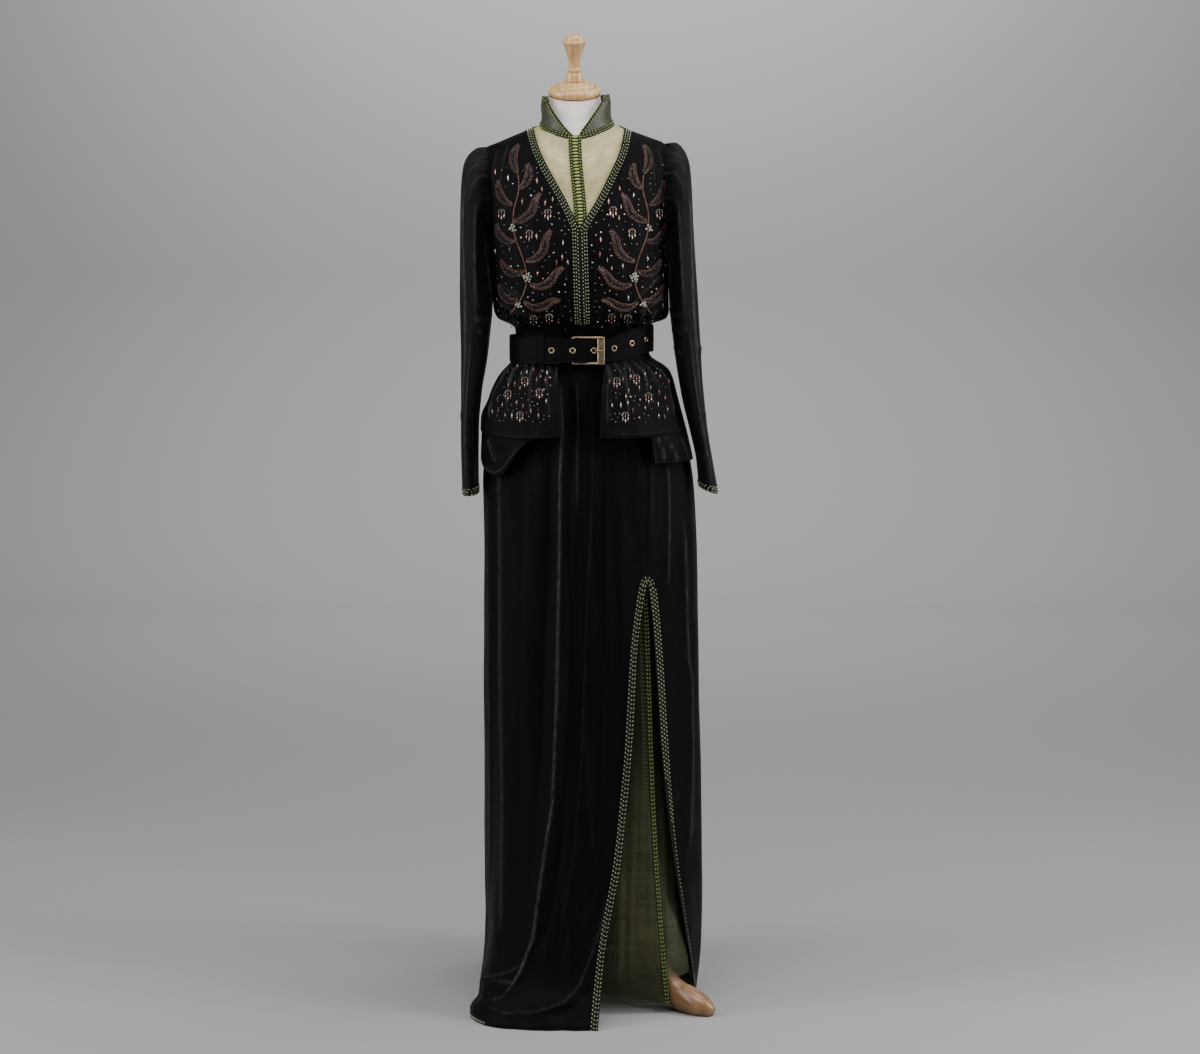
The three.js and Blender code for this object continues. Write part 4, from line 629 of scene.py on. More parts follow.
def make_jersey(name):
    """White cotton knit over padding, greyed a little by dust."""
    material, tree, shader = node_material(
        name, (0.8, 0.74, 0.72), 0.85, Sheen_Weight=0.2, Sheen_Roughness=0.5)
    place = scaled_coordinates(tree, "UV")
    wale = wave(tree, place, 240, "X", 0.8)
    course = wave(tree, place, 200, "Y", 1.2)
    knit = arithmetic(tree, "MULTIPLY", wale, course)
    dust = noise(tree, place, 22.0, 4.0, 0.6)
    paint(tree, shader, dust, (0.3, (0.74, 0.675, 0.655)), (0.7, (0.88, 0.81, 0.785)))
    bump(tree, shader, knit, 0.0003, 0.6)
    return material


def make_beech(name, deep, pale, stretch, gloss=0.3):
    """Varnished beech: long soft grain, small dark flecks, and a clear coat with light wear."""
    material, tree, shader = node_material(
        name, pale, gloss, Coat_Weight=0.45, Coat_Roughness=0.16, Specular_IOR_Level=0.4)
    grain = noise(tree, scaled_coordinates(tree, "Object", stretch), 5.0, 6.0, 0.62, 0.8)
    rings = wave(tree, scaled_coordinates(tree, "Object", stretch), 5.0, "X", 5.0, 3.0)
    fleck = noise(tree, scaled_coordinates(tree, "Object", tuple(9 * s for s in stretch)), 8.0, 2.0)
    blend = arithmetic(tree, "ADD", arithmetic(tree, "MULTIPLY", grain, 0.7),
                       arithmetic(tree, "MULTIPLY", rings, 0.3))
    middle = tuple(mix(np.array(deep), np.array(pale), 0.7))
    colour = ramp(tree, blend, (0.28, deep), (0.5, middle), (0.72, pale))
    darken = tree.nodes.new("ShaderNodeMixRGB")
    darken.blend_type = "MULTIPLY"
    darken.inputs["Fac"].default_value = 0.35
    tree.links.new(colour, darken.inputs["Color1"])
    tree.links.new(ramp(tree, fleck, (0.34, (0.7, 0.62, 0.55)), (0.46, (1, 1, 1))), darken.inputs["Color2"])
    tree.links.new(darken.outputs["Color"], shader.inputs["Base Color"])
    tree.links.new(span(tree, grain, 0.3, 0.7, gloss - 0.07, gloss + 0.12), shader.inputs["Roughness"])
    bump(tree, shader, blend, 0.0005, 0.3)
    return material


def make_metal(name, tone, wear_and_highlight_tone, roughness):
    """Cast metal with a brushed surface, paler and rougher where it is worn."""
    material, tree, shader = node_material(name, tone, roughness, Metallic=1.0)
    place = scaled_coordinates(tree, "Object")
    wear_and_highlight = noise(tree, place, 130.0, 5.0, 0.65, 0.4)
    brushed = noise(tree, scaled_coordinates(tree, "Object", (12, 12, 600)), 3.0, 3.0)
    paint(tree, shader, wear_and_highlight, (0.35, tone), (0.7, wear_and_highlight_tone))
    tree.links.new(span(tree, wear_and_highlight, 0.3, 0.7, roughness - 0.07, roughness + 0.14), shader.inputs["Roughness"])
    bump(tree, shader, brushed, 0.0002, 0.25)
    return material


def make_bead(name, tone, light_tone, roughness, metallic):
    """Glass or metal-lined beads: each takes its own tone from where it sits."""
    material, tree, shader = node_material(
        name, tone, roughness, Metallic=metallic, Coat_Weight=0.5, Coat_Roughness=0.08)
    place = scaled_coordinates(tree, "Object")
    own = noise(tree, place, 300.0, 2.0)
    paint(tree, shader, own, (0.38, tone), (0.62, light_tone))
    tree.links.new(span(tree, own, 0.3, 0.7, max(roughness - 0.1, 0.04), roughness + 0.12),
                   shader.inputs["Roughness"])
    return material


# the second colour of each velvet is its painted highlight tone on the crests of the folds
velvet = make_velvet("silk_velvet", (0.0016, 0.0015, 0.0018), (0.05, 0.049, 0.05), 0.06)
strap_velvet = make_velvet("strap_velvet", (0.0022, 0.0021, 0.0024), (0.05, 0.049, 0.05), 0.1)
organza_light = make_sheer("organza_yoke", (0.38, 0.345, 0.15), (0.6, 0.54, 0.29), 330, 0.65, 0.69, 0.12)
organza_dark = make_sheer(
    "organza_underskirt", (0.028, 0.031, 0.012), (0.058, 0.062, 0.027), 330, 0.13, 0.16, 0.02)
satin = make_satin("collar_satin", (0.018, 0.0205, 0.0075), (0.042, 0.045, 0.019))
leaf_thread = make_thread("leaf_thread", (0.33, 0.37, 0.18), (0.66, 0.7, 0.48))
# a darker copy of the lime thread, painted shade for the underskirt edge that lies behind the other panel
shaded_lime_thread = make_thread("shaded_lime_thread", (0.05, 0.062, 0.016), (0.11, 0.13, 0.045))
lime_thread = make_thread("lime_thread", (0.2, 0.25, 0.055), (0.42, 0.48, 0.155))
dark_ground = make_cord_ground("braid_ground", (0.002, 0.003, 0.0014), (0.008, 0.012, 0.004))
lime_ground = make_cord_ground("lime_braid_ground", (0.008, 0.011, 0.003), (0.026, 0.034, 0.008))
jersey = make_jersey("form_jersey")
beech = make_beech("beech_turned", (0.48, 0.27, 0.11), (0.6, 0.38, 0.175), (6, 6, 1.2))
beech_leg = make_beech("beech_leg", (0.19, 0.092, 0.036), (0.28, 0.15, 0.066), (2, 2, 2))
gold = make_metal("antique_gold", (0.30, 0.21, 0.13), (0.52, 0.40, 0.28), 0.3)
cap_rim = make_metal("cap_rim", (0.25, 0.06, 0.03), (0.34, 0.1, 0.06), 0.5)
bead_materials = {
    "copper": make_bead("copper_bugle", (0.10, 0.036, 0.025), (0.27, 0.125, 0.095), 0.34, 0.6),
    "gunmetal": make_bead("gunmetal_bead", (0.02, 0.02, 0.023), (0.1, 0.105, 0.115), 0.3, 0.7),
    "silver": make_bead("silver_seed_bead", (0.1, 0.1, 0.105), (0.3, 0.3, 0.3), 0.3, 0.6),
    "pearl": make_bead("pearl_bead", (0.2, 0.215, 0.165), (0.45, 0.46, 0.38), 0.22, 0.15),
    "crystal": make_bead("crystal_bead", (0.25, 0.235, 0.23), (0.72, 0.68, 0.65), 0.14, 0.85),
    "rose": make_bead("rose_drop", (0.26, 0.11, 0.08), (0.6, 0.36, 0.28), 0.18, 0.75),
}


# ---------- bodice ----------
SIDES = {"left": -1, "right": 1}
ARMHOLE_END = 1446
FRONT_TOP, BODICE_END = 1478, 1111.4
BRAID_WIDTH = 13


def centre_front(z):
    return 5.5 + (V_POINT - z) * 0.03


def inner_edge_x(side, z):
    seam = centre_front(z) + SIDES[side] * SEAM / 2
    edge = curve(V_NECK["z"], V_NECK[side], np.minimum(z, FRONT_TOP))
    pick = np.minimum if side == "left" else np.maximum
    return np.where(z < V_POINT, seam, pick(edge, seam))


def outer_edge_x(side, z):
    ring = read(BODICE, np.minimum(z, ARMHOLE_END))
    middle = (ring["left"] + ring["right"]) / 2
    return middle + (ring[side] - middle) * curve(ARMHOLE["z"], ARMHOLE["share"], z)


def ridge_height(sign, x):
    """The height of the shoulder ridge above x. sign says which side each x is on."""
    low, high = np.full(x.shape, 1440.0), np.full(x.shape, float(NECK_BACK))
    for _ in range(26):
        middle = (low + high) / 2
        edge = np.where(
            sign < 0, curve(BODICE["z"], BODICE["left"], middle), curve(BODICE["z"], BODICE["right"], middle))
        inside = sign * (edge - x) > 0
        low, high = np.where(inside, middle, low), np.where(inside, high, middle)
    return low


# every crease is (path of (x, z) points, half width, height)
BODICE_CREASES = {"left": [
    ([(-109, 1457), (-120, 1416), (-124, 1380)], 4.5, 2.6),
    ([(-128, 1448), (-136, 1405), (-134, 1370)], 4, 2.2),
    ([(-90, 1468), (-97, 1430), (-99, 1395)], 6, -1.6),
    ([(-132, 1225), (-96, 1200), (-66, 1186)], 6, 2.2),
    ([(-138, 1196), (-104, 1176), (-72, 1166)], 5, 2.6),
    ([(-104, 1178), (-98, 1160), (-94, 1143)], 5, 3.2),
    ([(-76, 1176), (-73, 1156), (-71, 1138)], 5, 2.8),
    ([(-46, 1172), (-44, 1152), (-43, 1136)], 4.5, 2.4),
    ([(-122, 1176), (-116, 1158), (-104, 1146)], 5, 3.0),
    ([(-60, 1174), (-58, 1150)], 4, -2.0), ([(-88, 1172), (-84, 1150)], 4, -2.4),
], "right": [
    ([(108, 1456), (124, 1420), (130, 1380)], 4.5, 2.4),
    ([(132, 1452), (141, 1410), (140, 1372)], 4, 2.2),
    ([(32, 1210), (34, 1180), (36, 1146)], 3.5, 2.2),
    ([(142, 1238), (112, 1210), (92, 1190)], 6, 2.2),
    ([(150, 1204), (122, 1184), (96, 1172)], 5, 2.8),
    ([(62, 1182), (62, 1160), (60, 1140)], 5, 2.6),
    ([(86, 1180), (84, 1160), (82, 1142)], 5, 3.0),
    ([(110, 1180), (104, 1160), (100, 1144)], 5, 3.2),
    ([(132, 1182), (122, 1162), (112, 1148)], 5, 3.2),
    ([(48, 1176), (48, 1150)], 4, -2.0), ([(98, 1176), (94, 1150)], 4, -2.6),
]}
BODICE_CREASES_BACK = [
    ([(-96, 1182), (-90, 1160), (-84, 1140)], 5, 3.0), ([(-64, 1184), (-60, 1160), (-58, 1140)], 5, 2.6),
    ([(-30, 1180), (-28, 1158), (-28, 1140)], 5, 2.4), ([(10, 1182), (10, 1160), (8, 1140)], 5, 2.6),
    ([(44, 1180), (42, 1160), (42, 1140)], 5, 2.8), ([(80, 1184), (74, 1160), (72, 1140)], 5, 2.8),
    ([(112, 1184), (104, 1162), (98, 1144)], 5, 3.0), ([(-128, 1232), (-96, 1206), (-70, 1192)], 7, 2.2),
    ([(140, 1236), (110, 1208), (84, 1194)], 7, 2.2), ([(-120, 1448), (-128, 1400), (-126, 1350)], 6, 2.4),
    ([(126, 1448), (132, 1400), (130, 1352)], 6, 2.4), ([(-60, 1440), (-56, 1330), (-62, 1240)], 12, 1.8),
    ([(66, 1440), (60, 1330), (66, 1240)], 12, 1.8), ([(4, 1460), (4, 1300), (6, 1180)], 3, -1.6),
]
CLOTH_WAVES = [(58, 410, 0.6, 0.55), (33, 260, 2.1, 0.32), (17, 150, 4.0, 0.14)]


def bodice_front(side, rows, columns):
    sign = SIDES[side]
    level = np.linspace(FRONT_TOP, BODICE_END, rows)[:, None]
    share = np.sin(np.linspace(0, 1, columns) * PI / 2)[None, :]

    def x_at(z):
        return mix(inner_edge_x(side, z), outer_edge_x(side, z), share)

    ridge = np.full((rows, columns), float(FRONT_TOP))
    for _ in range(6):
        ridge = np.minimum(FRONT_TOP, ridge_height(sign, x_at(ridge)))
    z = mix(ridge, BODICE_END, (FRONT_TOP - level) / (FRONT_TOP - BODICE_END))
    ring = read(BODICE, z)
    angle = angle_at_x(ring, x_at(z))
    angle[0] = -PI if side == "left" else 0
    angle = np.clip(angle, -PI + 0.001, -0.001)
    points = bodice(angle, z)
    creases = BODICE_CREASES[side]
    high = crease_height(points[..., 0], z, creases) + waves(points[..., 0], z, CLOTH_WAVES)
    quiet = smooth(0, 16, np.abs(points[..., 0] - inner_edge_x(side, z)))
    quiet = quiet * smooth(0, 14, ridge - z) * smooth(0, 10, np.abs(points[..., 0] - outer_edge_x(side, z)))
    return bodice(angle, z, high * quiet), crest_highlight(points[..., 0], z, creases) * quiet


def bodice_rear(rows, columns):
    level = np.linspace(FRONT_TOP, BODICE_END, rows)[:, None]
    share = ((1 - np.cos(np.linspace(0, 1, columns) * PI)) / 2)[None, :]

    def x_at(z):
        return mix(outer_edge_x("left", z), outer_edge_x("right", z), share)

    ridge = np.full((rows, columns), 1465.0)
    for _ in range(6):
        x = x_at(ridge)
        ridge = np.minimum(NECK_BACK, ridge_height(np.where(x < 0, -1, 1), x))
    z = mix(ridge, BODICE_END, (FRONT_TOP - level) / (FRONT_TOP - BODICE_END))
    angle = np.clip(angle_at_x(read(BODICE, z), x_at(z), 1), 0.001, PI - 0.001)
    x = bodice(angle, z)[..., 0]
    high = crease_height(x, z, BODICE_CREASES_BACK) + waves(x, z, CLOTH_WAVES)
    edge = np.minimum(np.abs(x - outer_edge_x("left", z)), np.abs(x - outer_edge_x("right", z)))
    quiet = smooth(0, 14, ridge - z) * smooth(0, 10, edge)
    return bodice(angle, z, high * quiet), crest_highlight(x, z, BODICE_CREASES_BACK) * quiet


for side in SIDES:
    points, nap = bodice_front(side, rows=120, columns=62)
    shell(f"bodice_front_{side}", points, VELVET, velvet, "velvet", nap=nap)
points, nap = bodice_rear(rows=90, columns=80)
shell("bodice_back", points, VELVET, velvet, "velvet", nap=nap)

# ---------- sleeves ----------
ARMHOLE_TOP = {"left": 1446.5, "right": 1452}
SLEEVE_GAP = 0.4
# above the elbow the sleeve's inner side rests against the bodice
SLEEVE_REST = {"left": 5.0, "right": 3.6}
# gathers of the sleeve head: the turn of each from the outer edge towards the front, in degrees
HEAD_GATHERS = [-84, -71, -60, -50, -41, -31, -22, -14, -5, 4, 12, 21, 29, 38, 47, 57, 68]
# long lines: turn at the top and at the cuff, heights where they run, half width in degrees, height
SLEEVE_LINES = [
    (52, 60, 1392, 1010, 10, 2.6), (96, 92, 1375, 1150, 9, 2.4), (120, 128, 1300, 900, 10, -2.2),
    (24, 34, 1300, 900, 9, 1.8), (76, 74, 1140, 880, 8, 1.8), (-40, -34, 1380, 940, 12, 2.4),
    (-88, -84, 1330, 960, 12, -2.4), (-130, -126, 1240, 900, 10, 2.4), (150, 146, 1260, 1060, 9, 2.2),
]
# crinkles at the bend of the elbow: (turn, height) paths, half width in mm, height
ELBOW_CREASES = {"left": [
    ([(176, 1196), (128, 1180), (92, 1188)], 4.5, 3.0), ([(178, 1172), (120, 1158), (80, 1164)], 4, 3.0),
    ([(150, 1150), (110, 1140), (70, 1150)], 4, 2.4), ([(184, 1214), (150, 1206), (118, 1210)], 4, 2.4),
    ([(-160, 1180), (-120, 1168), (-84, 1176)], 5, 2.8), ([(60, 1010), (20, 996), (-16, 1004)], 4, 1.8),
    ([(130, 960), (90, 948), (48, 956)], 4, 2.0), ([(150, 930), (100, 918), (60, 924)], 3.5, 1.6),
], "right": [
    ([(178, 1184), (130, 1166), (88, 1174)], 4.5, 3.0), ([(172, 1150), (118, 1138), (78, 1148)], 4, 3.0),
    ([(70, 1126), (34, 1110), (0, 1118)], 4, 2.6), ([(180, 1116), (140, 1106), (104, 1112)], 4, 2.2),
    ([(-160, 1160), (-120, 1148), (-84, 1156)], 5, 2.8), ([(86, 1014), (40, 998), (0, 1006)], 4, 1.8),
    ([(150, 1002), (104, 988), (64, 996)], 4, 1.8), ([(140, 944), (96, 930), (52, 938)], 4, 2.0),
]}
# how far a degree of turn is along the sleeve's surface, for paths given by turn
TURN_TO_MM = 0.62


def sleeve_normals(points, side):
    normals = grid_normals(points, wrap=True)
    return normals if normals[len(points) // 2, 0, 0] * SIDES[side] > 0 else -normals


def sleeve(side, rows, columns):
    turn = np.linspace(0, 2 * PI, columns, endpoint=False)
    out = (1 + np.cos(turn)) / 2
    z = mix(UNDERARM, ARMHOLE_TOP[side], out)
    ring = read(BODICE, z)
    middle = (ring["left"] + ring["right"]) / 2
    x = middle + (ring[side] - middle) * curve(ARMHOLE["z"], ARMHOLE["share"], z)
    front, rear = angle_at_x(ring, x, -1), angle_at_x(ring, x, 1)
    start = ring_point(ring, np.where(np.sin(turn) > 0, front, rear), z)
    start[:, 0] += SIDES[side] * SLEEVE_GAP
    rows_of = SLEEVES[side]
    rings = [start]
    rest = SIDES[side] * SLEEVE_REST[side] * smooth(1130, 1210, rows_of["in_z"])
    for k in range(len(rows_of["step"])):
        rings.append(np.stack([
            mix(rows_of["in_x"][k] - rest[k], rows_of["out_x"][k], out),
            rows_of["mid_y"][k] - rows_of["depth"][k] * np.sin(turn),
            mix(rows_of["in_z"][k], rows_of["out_z"][k], out),
        ], axis=-1))
    steps = np.linspace(0, 1, rows) ** 0.9 * len(rows_of["step"])
    points = curve(np.arange(len(rings)), np.array(rings), steps)
    degrees = turn / RAD
    degrees = np.where(degrees > 180, degrees - 360, degrees)[None, :] + 0 * steps[:, None]
    z = points[..., 2]
    high = waves(degrees * TURN_TO_MM, z, CLOTH_WAVES)
    gathered = smooth(0, 0.35, steps)[:, None] * smooth(3.9, 0.9, steps)[:, None]
    # nap is a painted highlight: the whole sleeve starts a little grey, and the crests of gathers, lines and
    # crinkles get more
    nap = 0.13 + 0 * z
    for k, at in enumerate(HEAD_GATHERS):
        away = turn_between(degrees * RAD, (at + 1.6 * steps[:, None]) * RAD) / RAD
        away = away / (3.6 + 0.8 * math.sin(2.4 * k))
        tall = gathered ** (1 + 0.6 * math.sin(3.1 * k)) * (1.9 + 0.8 * math.sin(1.9 * k + 1))
        high = high + tall * np.exp(-away * away)
        nap = nap + 0.14 * tall * np.exp(-4 * away * away)
    high = high - 1.1 * gathered * (np.abs(degrees) < 115)
    for top, low, high_z, low_z, wide, tall in SLEEVE_LINES:
        centre = mix(top, low, smooth(high_z, low_z, z))
        away = turn_between(degrees * RAD, centre * RAD) / RAD / wide
        run = smooth(low_z - 10, low_z + 70, z) * smooth(high_z + 10, high_z - 60, z)
        high = high + tall * run * np.exp(-away * away)
        nap = nap + 0.3 * max(tall, 0) * run * np.exp(-14 * away * away)
    for path, wide, tall in ELBOW_CREASES[side]:
        scaled = [(turned * TURN_TO_MM, level) for turned, level in path]
        for shift in (-360, 0, 360):
            at = (degrees + shift) * TURN_TO_MM
            high = high + crease_height(at, z, [(scaled, wide, tall)])
            nap = nap + crest_highlight(at, z, [(scaled, wide, tall)])
    high = high * smooth(0, 0.5, steps)[:, None] * smooth(13, 12.1, steps)[:, None]
    return points + sleeve_normals(points, side) * high[..., None], nap


for side in SIDES:
    points, nap = sleeve(side, rows=150, columns=100)
    normals = sleeve_normals(points, side)
    shell(f"sleeve_{side}", points, VELVET, velvet, "velvet", wrap=True, normals=normals, nap=nap)

# ---------- skirt ----------
RIGHT_SEAM = 12 * RAD
SKIRT_TOP = 1111.1
SKIRT_CREASES = [
    ([(-30, 1081), (-25, 1043), (-22, 980), (-26, 906), (-27, 765), (-31, 532), (-39, 366), (-53, 267),
      (-71, 137), (-92, 82), (-105, 62), (-135, 60), (-155, 47)], 7, 6.0),
    ([(-14, 1060), (-10, 900), (-12, 700), (-17, 480), (-26, 300), (-48, 160), (-74, 92)], 8, -3.6),
    ([(-46, 1060), (-44, 900), (-48, 700), (-58, 440), (-76, 240), (-100, 120)], 9, -2.8),
    ([(1, 1079), (3, 994), (2, 900), (0, 820)], 5, 2.8),
    ([(26, 1087), (26, 881), (21, 765), (17, 699), (15, 600), (8, 440), (-4, 280), (-30, 130)], 7, 0.9),
    ([(48, 1060), (50, 880), (48, 700), (44, 520), (34, 330), (14, 160)], 8, -2.6),
    ([(125, 1000), (125, 939), (125, 740)], 4, 2.0),
    ([(146, 960), (152, 898), (153, 832), (152, 700)], 6, 3.0),
    ([(176, 840), (180, 744), (185, 595), (192, 552), (195, 432), (190, 250)], 6, 3.6),
    ([(166, 800), (168, 600), (172, 420), (176, 220)], 7, -2.4),
    ([(-127, 940), (-125, 665), (-123, 366), (-127, 121)], 12, 4.2),
    ([(-90, 930), (-92, 665), (-96, 366), (-112, 150)], 10, -2.6),
    ([(-148, 900), (-146, 600), (-148, 300), (-150, 130)], 7, 2.4),
    ([(58, 225), (39, 157), (20, 103), (4, 66), (-19, 43), (-64, 29), (-112, 21)], 7, 2.4),
    ([(28, 66), (-2, 34), (-50, 16)], 6, -2.6),
    ([(-86, 98), (-109, 80), (-129, 69), (-150, 57), (-168, 50)], 4, 3.0),
    ([(-100, 72), (-120, 57), (-140, 47), (-164, 42)], 5, -2.6),
    ([(-98, 68), (-122, 44), (-150, 34)], 4, 2.4),
    ([(-150, 28), (-116, 23), (-82, 27)], 5, 1.8),
]
# how far out the left side hangs: straight down behind, and in front only the flap on the floor goes further
LEFT_LIMIT = table(
    "z front behind",
    (0, -186, -166), (12, -180, -166), (21, -170, -166), (28, -162, -165.5), (36, -158, -165),
    (60, -157, -162), (100, -157, -159.5), (150, -158, -158.5), (185, -162, -162), (230, -200, -200),
)
# how far the corner of the flap on the floor reaches out beyond the folds
FLAP_TIP = 5
SKIRT_BACK_CREASES = [
    ([(-120, 1040), (-128, 800), (-134, 500), (-140, 200)], 9, 3.0),
    ([(-70, 1060), (-76, 800), (-78, 500), (-84, 160)], 8, 3.6),
    ([(-40, 1060), (-42, 800), (-40, 520), (-44, 160)], 9, -3.2),
    ([(-8, 1060), (-6, 820), (-6, 500), (-10, 120)], 7, 4.0),
    ([(24, 1060), (28, 800), (30, 480), (32, 130)], 9, -3.0),
    ([(60, 1060), (66, 800), (72, 500), (80, 150)], 8, 3.8),
    ([(96, 1050), (106, 800), (114, 500), (124, 160)], 9, -3.0),
    ([(130, 1020), (146, 800), (158, 500), (168, 180)], 8, 3.4),
    ([(-30, 120), (10, 70), (60, 40)], 8, 3.4), ([(-110, 100), (-70, 60), (-30, 30)], 8, 3.0),
    ([(70, 130), (110, 80), (150, 50)], 8, 3.2),
]
SKIRT_WAVES = [(64, 900, 0.3, 0.9), (37, 640, 1.7, 0.6), (21, 380, 3.1, 0.25)]


def skirt_creases(angle, z):
    """The height of the folds at each point, and the painted highlight along their crests."""
    x = skirt(angle, z)[..., 0]
    front = smooth(0.0, 0.3, -np.sin(angle))
    rear = smooth(0.0, 0.3, np.sin(angle))
    high = front * crease_height(x, z, SKIRT_CREASES) + rear * crease_height(x, z, SKIRT_BACK_CREASES)
    ripple = waves(x * (0.6 + 0.4 * np.abs(np.sin(angle))) + 60 * rear, z, SKIRT_WAVES)
    nap = front * crest_highlight(x, z, SKIRT_CREASES) + rear * crest_highlight(x, z, SKIRT_BACK_CREASES)
    below_belt = smooth(1108, 1085, z)
    tip = smooth(22, 6, z) * smooth(-130, -165, skirt(angle, z)[..., 1]) * smooth(-110, -150, x)
    return (high + ripple) * below_belt + FLAP_TIP * tip, nap * below_belt


def held_in(points):
    """The cloth with its left side kept inside LEFT_LIMIT, softly."""
    x, y, z = np.moveaxis(points, -1, 0)
    limits = read(LEFT_LIMIT, np.clip(z, 0, 230))
    limit = mix(limits["front"], limits["behind"], smooth(-130, -90, y))
    kept = limit + (x - limit + np.hypot(x - limit, 2.5)) / 2
    return np.stack([np.where(x < 0, kept, x), y, z], axis=-1)


def slit_edge_angle(side, z):
    column = np.where(z >= SLIT_TOP, curve(SLIT["z"], SLIT["left"], z), curve(SLIT["z"], SLIT[side], z))
    return angle_at_x(read(SKIRT, z), column + SIDES[side] * SEAM / 2)


def flat_share(angle, edge, width=22 * RAD / 6):
    """0 at a bound edge, where the braid keeps the velvet flat, and 1 well away from it."""
    return 0.25 + 0.75 * smooth(0, width, np.abs(angle - edge))


def skirt_heights(rows):
    """Rows are closer together at the waist and at the floor."""
    share = np.linspace(0, 1, rows)
    share = share - 0.055 * np.sin(2 * PI * share) + 0.01
    share = (share - share[0]) / (share[-1] - share[0])
    return mix(SKIRT_TOP, HEM, share)


def skirt_front(side, rows, columns):
    z = skirt_heights(rows)[:, None]
    edge = slit_edge_angle(side, z)
    end = -PI + 0.001 if side == "left" else RIGHT_SEAM - 0.001
    share = np.linspace(0, 1, columns)[None, :]
    angle = mix(edge, end, share)
    z = z + 0 * angle
    high, nap = skirt_creases(angle, z)
    return held_in(skirt(angle, z, high * flat_share(angle, edge))), nap * flat_share(angle, edge)


def skirt_rear(rows, columns):
    z = skirt_heights(rows)[:, None]
    angle = mix(RIGHT_SEAM + 0.001, PI - 0.001, np.linspace(0, 1, columns)[None, :])
    z = z + 0 * angle
    high, nap = skirt_creases(angle, z)
    return held_in(skirt(angle, z, high)), nap


for side, rows, columns in (("left", 230, 150), ("right", 200, 60)):
    points, nap = skirt_front(side, rows, columns)
    shell(f"skirt_front_{side}", points, VELVET, velvet, "velvet", nap=nap)
points, nap = skirt_rear(rows=130, columns=90)
shell("skirt_back", points, VELVET, velvet, "velvet", nap=nap)

# ---------- peplum ----------
PEPLUM_CREASES = [
    ([(-107, 1092), (-122, 1063), (-137, 1033), (-146, 989)], 7, 4.2),
    ([(-98, 1092), (-110, 1054), (-116, 1010)], 6, 3.2),
    ([(-84, 1096), (-92, 1060), (-95, 1015)], 6, -2.2),
    ([(-70, 1094), (-74, 1060), (-76, 1000)], 7, 2.2),
    ([(-46, 1092), (-46, 1050), (-42, 990)], 5, 2.0),
    ([(54, 1090), (50, 1040), (50, 985)], 5, 2.2),
    ([(78, 1096), (82, 1050), (86, 1000)], 7, 2.2),
    ([(104, 1098), (114, 1060), (120, 1010)], 6, 2.6),
    ([(132, 1104), (147, 1071), (158, 1021), (160, 997)], 7, 4.4),
    ([(152, 1092), (171, 1046), (185, 980)], 6, 3.6),
    ([(118, 1100), (132, 1060), (138, 1010)], 6, -2.6),
    ([(-150, 975), (-100, 970), (-40, 973)], 4, 1.6), ([(50, 976), (100, 975), (170, 980)], 4, 1.6),
]
LONG_CREASES = [
    ([(-150, 968), (-142, 940), (-133, 920)], 7, 3.2),
    ([(-163, 930), (-150, 911), (-135, 908), (-122, 915), (-112, 930), (-99, 949), (-86, 963)], 5, 3.4),
    ([(-136, 950), (-124, 934), (-116, 924)], 6, -2.4),
    ([(133, 974), (143, 947), (148, 925)], 6, 3.2), ([(147, 974), (163, 942), (170, 920)], 6, 3.6),
    ([(172, 970), (184, 940), (190, 915)], 6, 3.0), ([(120, 970), (124, 945), (126, 930)], 6, -2.2),
]
# the room between the peplum's two layers
PEPLUM_LAYER = 1.2
# the rounded hem of the long left flap, by turn in degrees
FLAP_HEM = table(
    "turn low",
    (-270, 935), (-200, 935), (-180, 930), (-172, 924), (-164, 914), (-158, 906), (-151, 902),
    (-147, 906), (-143, 918), (-138, 938), (-132.5, 955), (-127, 965), (-118, 968),
)
# the gathered waist seam, fine pleats that fade below the belt: degrees apart, unevenness, height
WAIST_GATHERS = (8.2, 2.3, 0.9)


def peplum_creases(angle, z, creases):
    x = peplum(angle, z)[..., 0]
    front = smooth(0.0, 0.25, -np.sin(angle))
    high = front * crease_height(x, z, creases) + waves(x, z, CLOTH_WAVES)
    pitch, bend, tall = WAIST_GATHERS
    phase = angle / RAD / pitch * 2 * PI + bend * np.sin(3 * angle) + 0.004 * (z - 1000) ** 2 / 9
    fine = tall * np.sin(phase)
    below_belt = smooth(1106, 1088, z)
    start = smooth(1098, 1086, z)
    high = high + fine * start * smooth(1030, 1075, z)
    # a painted highlight along the crests of the creases and of the fine waist gathers
    nap = front * crest_highlight(x, z, creases) + 0.35 * np.maximum(fine, 0) * start * smooth(1040, 1080, z)
    return high * below_belt, nap * below_belt


def peplum_grid(rows, columns, start, end, hem, creases):
    share = np.linspace(0, 1, columns)[None, :]
    down = np.linspace(0, 1, rows)[:, None]
    low = hem(share) + 0 * share
    z = mix(WAIST, low, down ** 0.92)
    angle = mix(start(z), end(z), share)
    high, nap = peplum_creases(angle, z, creases)
    points = peplum(angle, z, high)
    return points, peplum(angle, z, high + 1) - points, nap


def peplum_edge(side):
    return lambda z: angle_at_x(read(PEPLUM, z), curve(PEPLUM_EDGE["z"], PEPLUM_EDGE[side], z))


def peplum_hem(lift):
    return lambda t: PEPLUM_HEM + lift * t * t - 3 * np.sin(PI * t)


def fixed_turn(degrees, short=0.0):
    """A side edge at one turn, or a hair short of it."""
    return lambda z: degrees * RAD + short + 0 * z


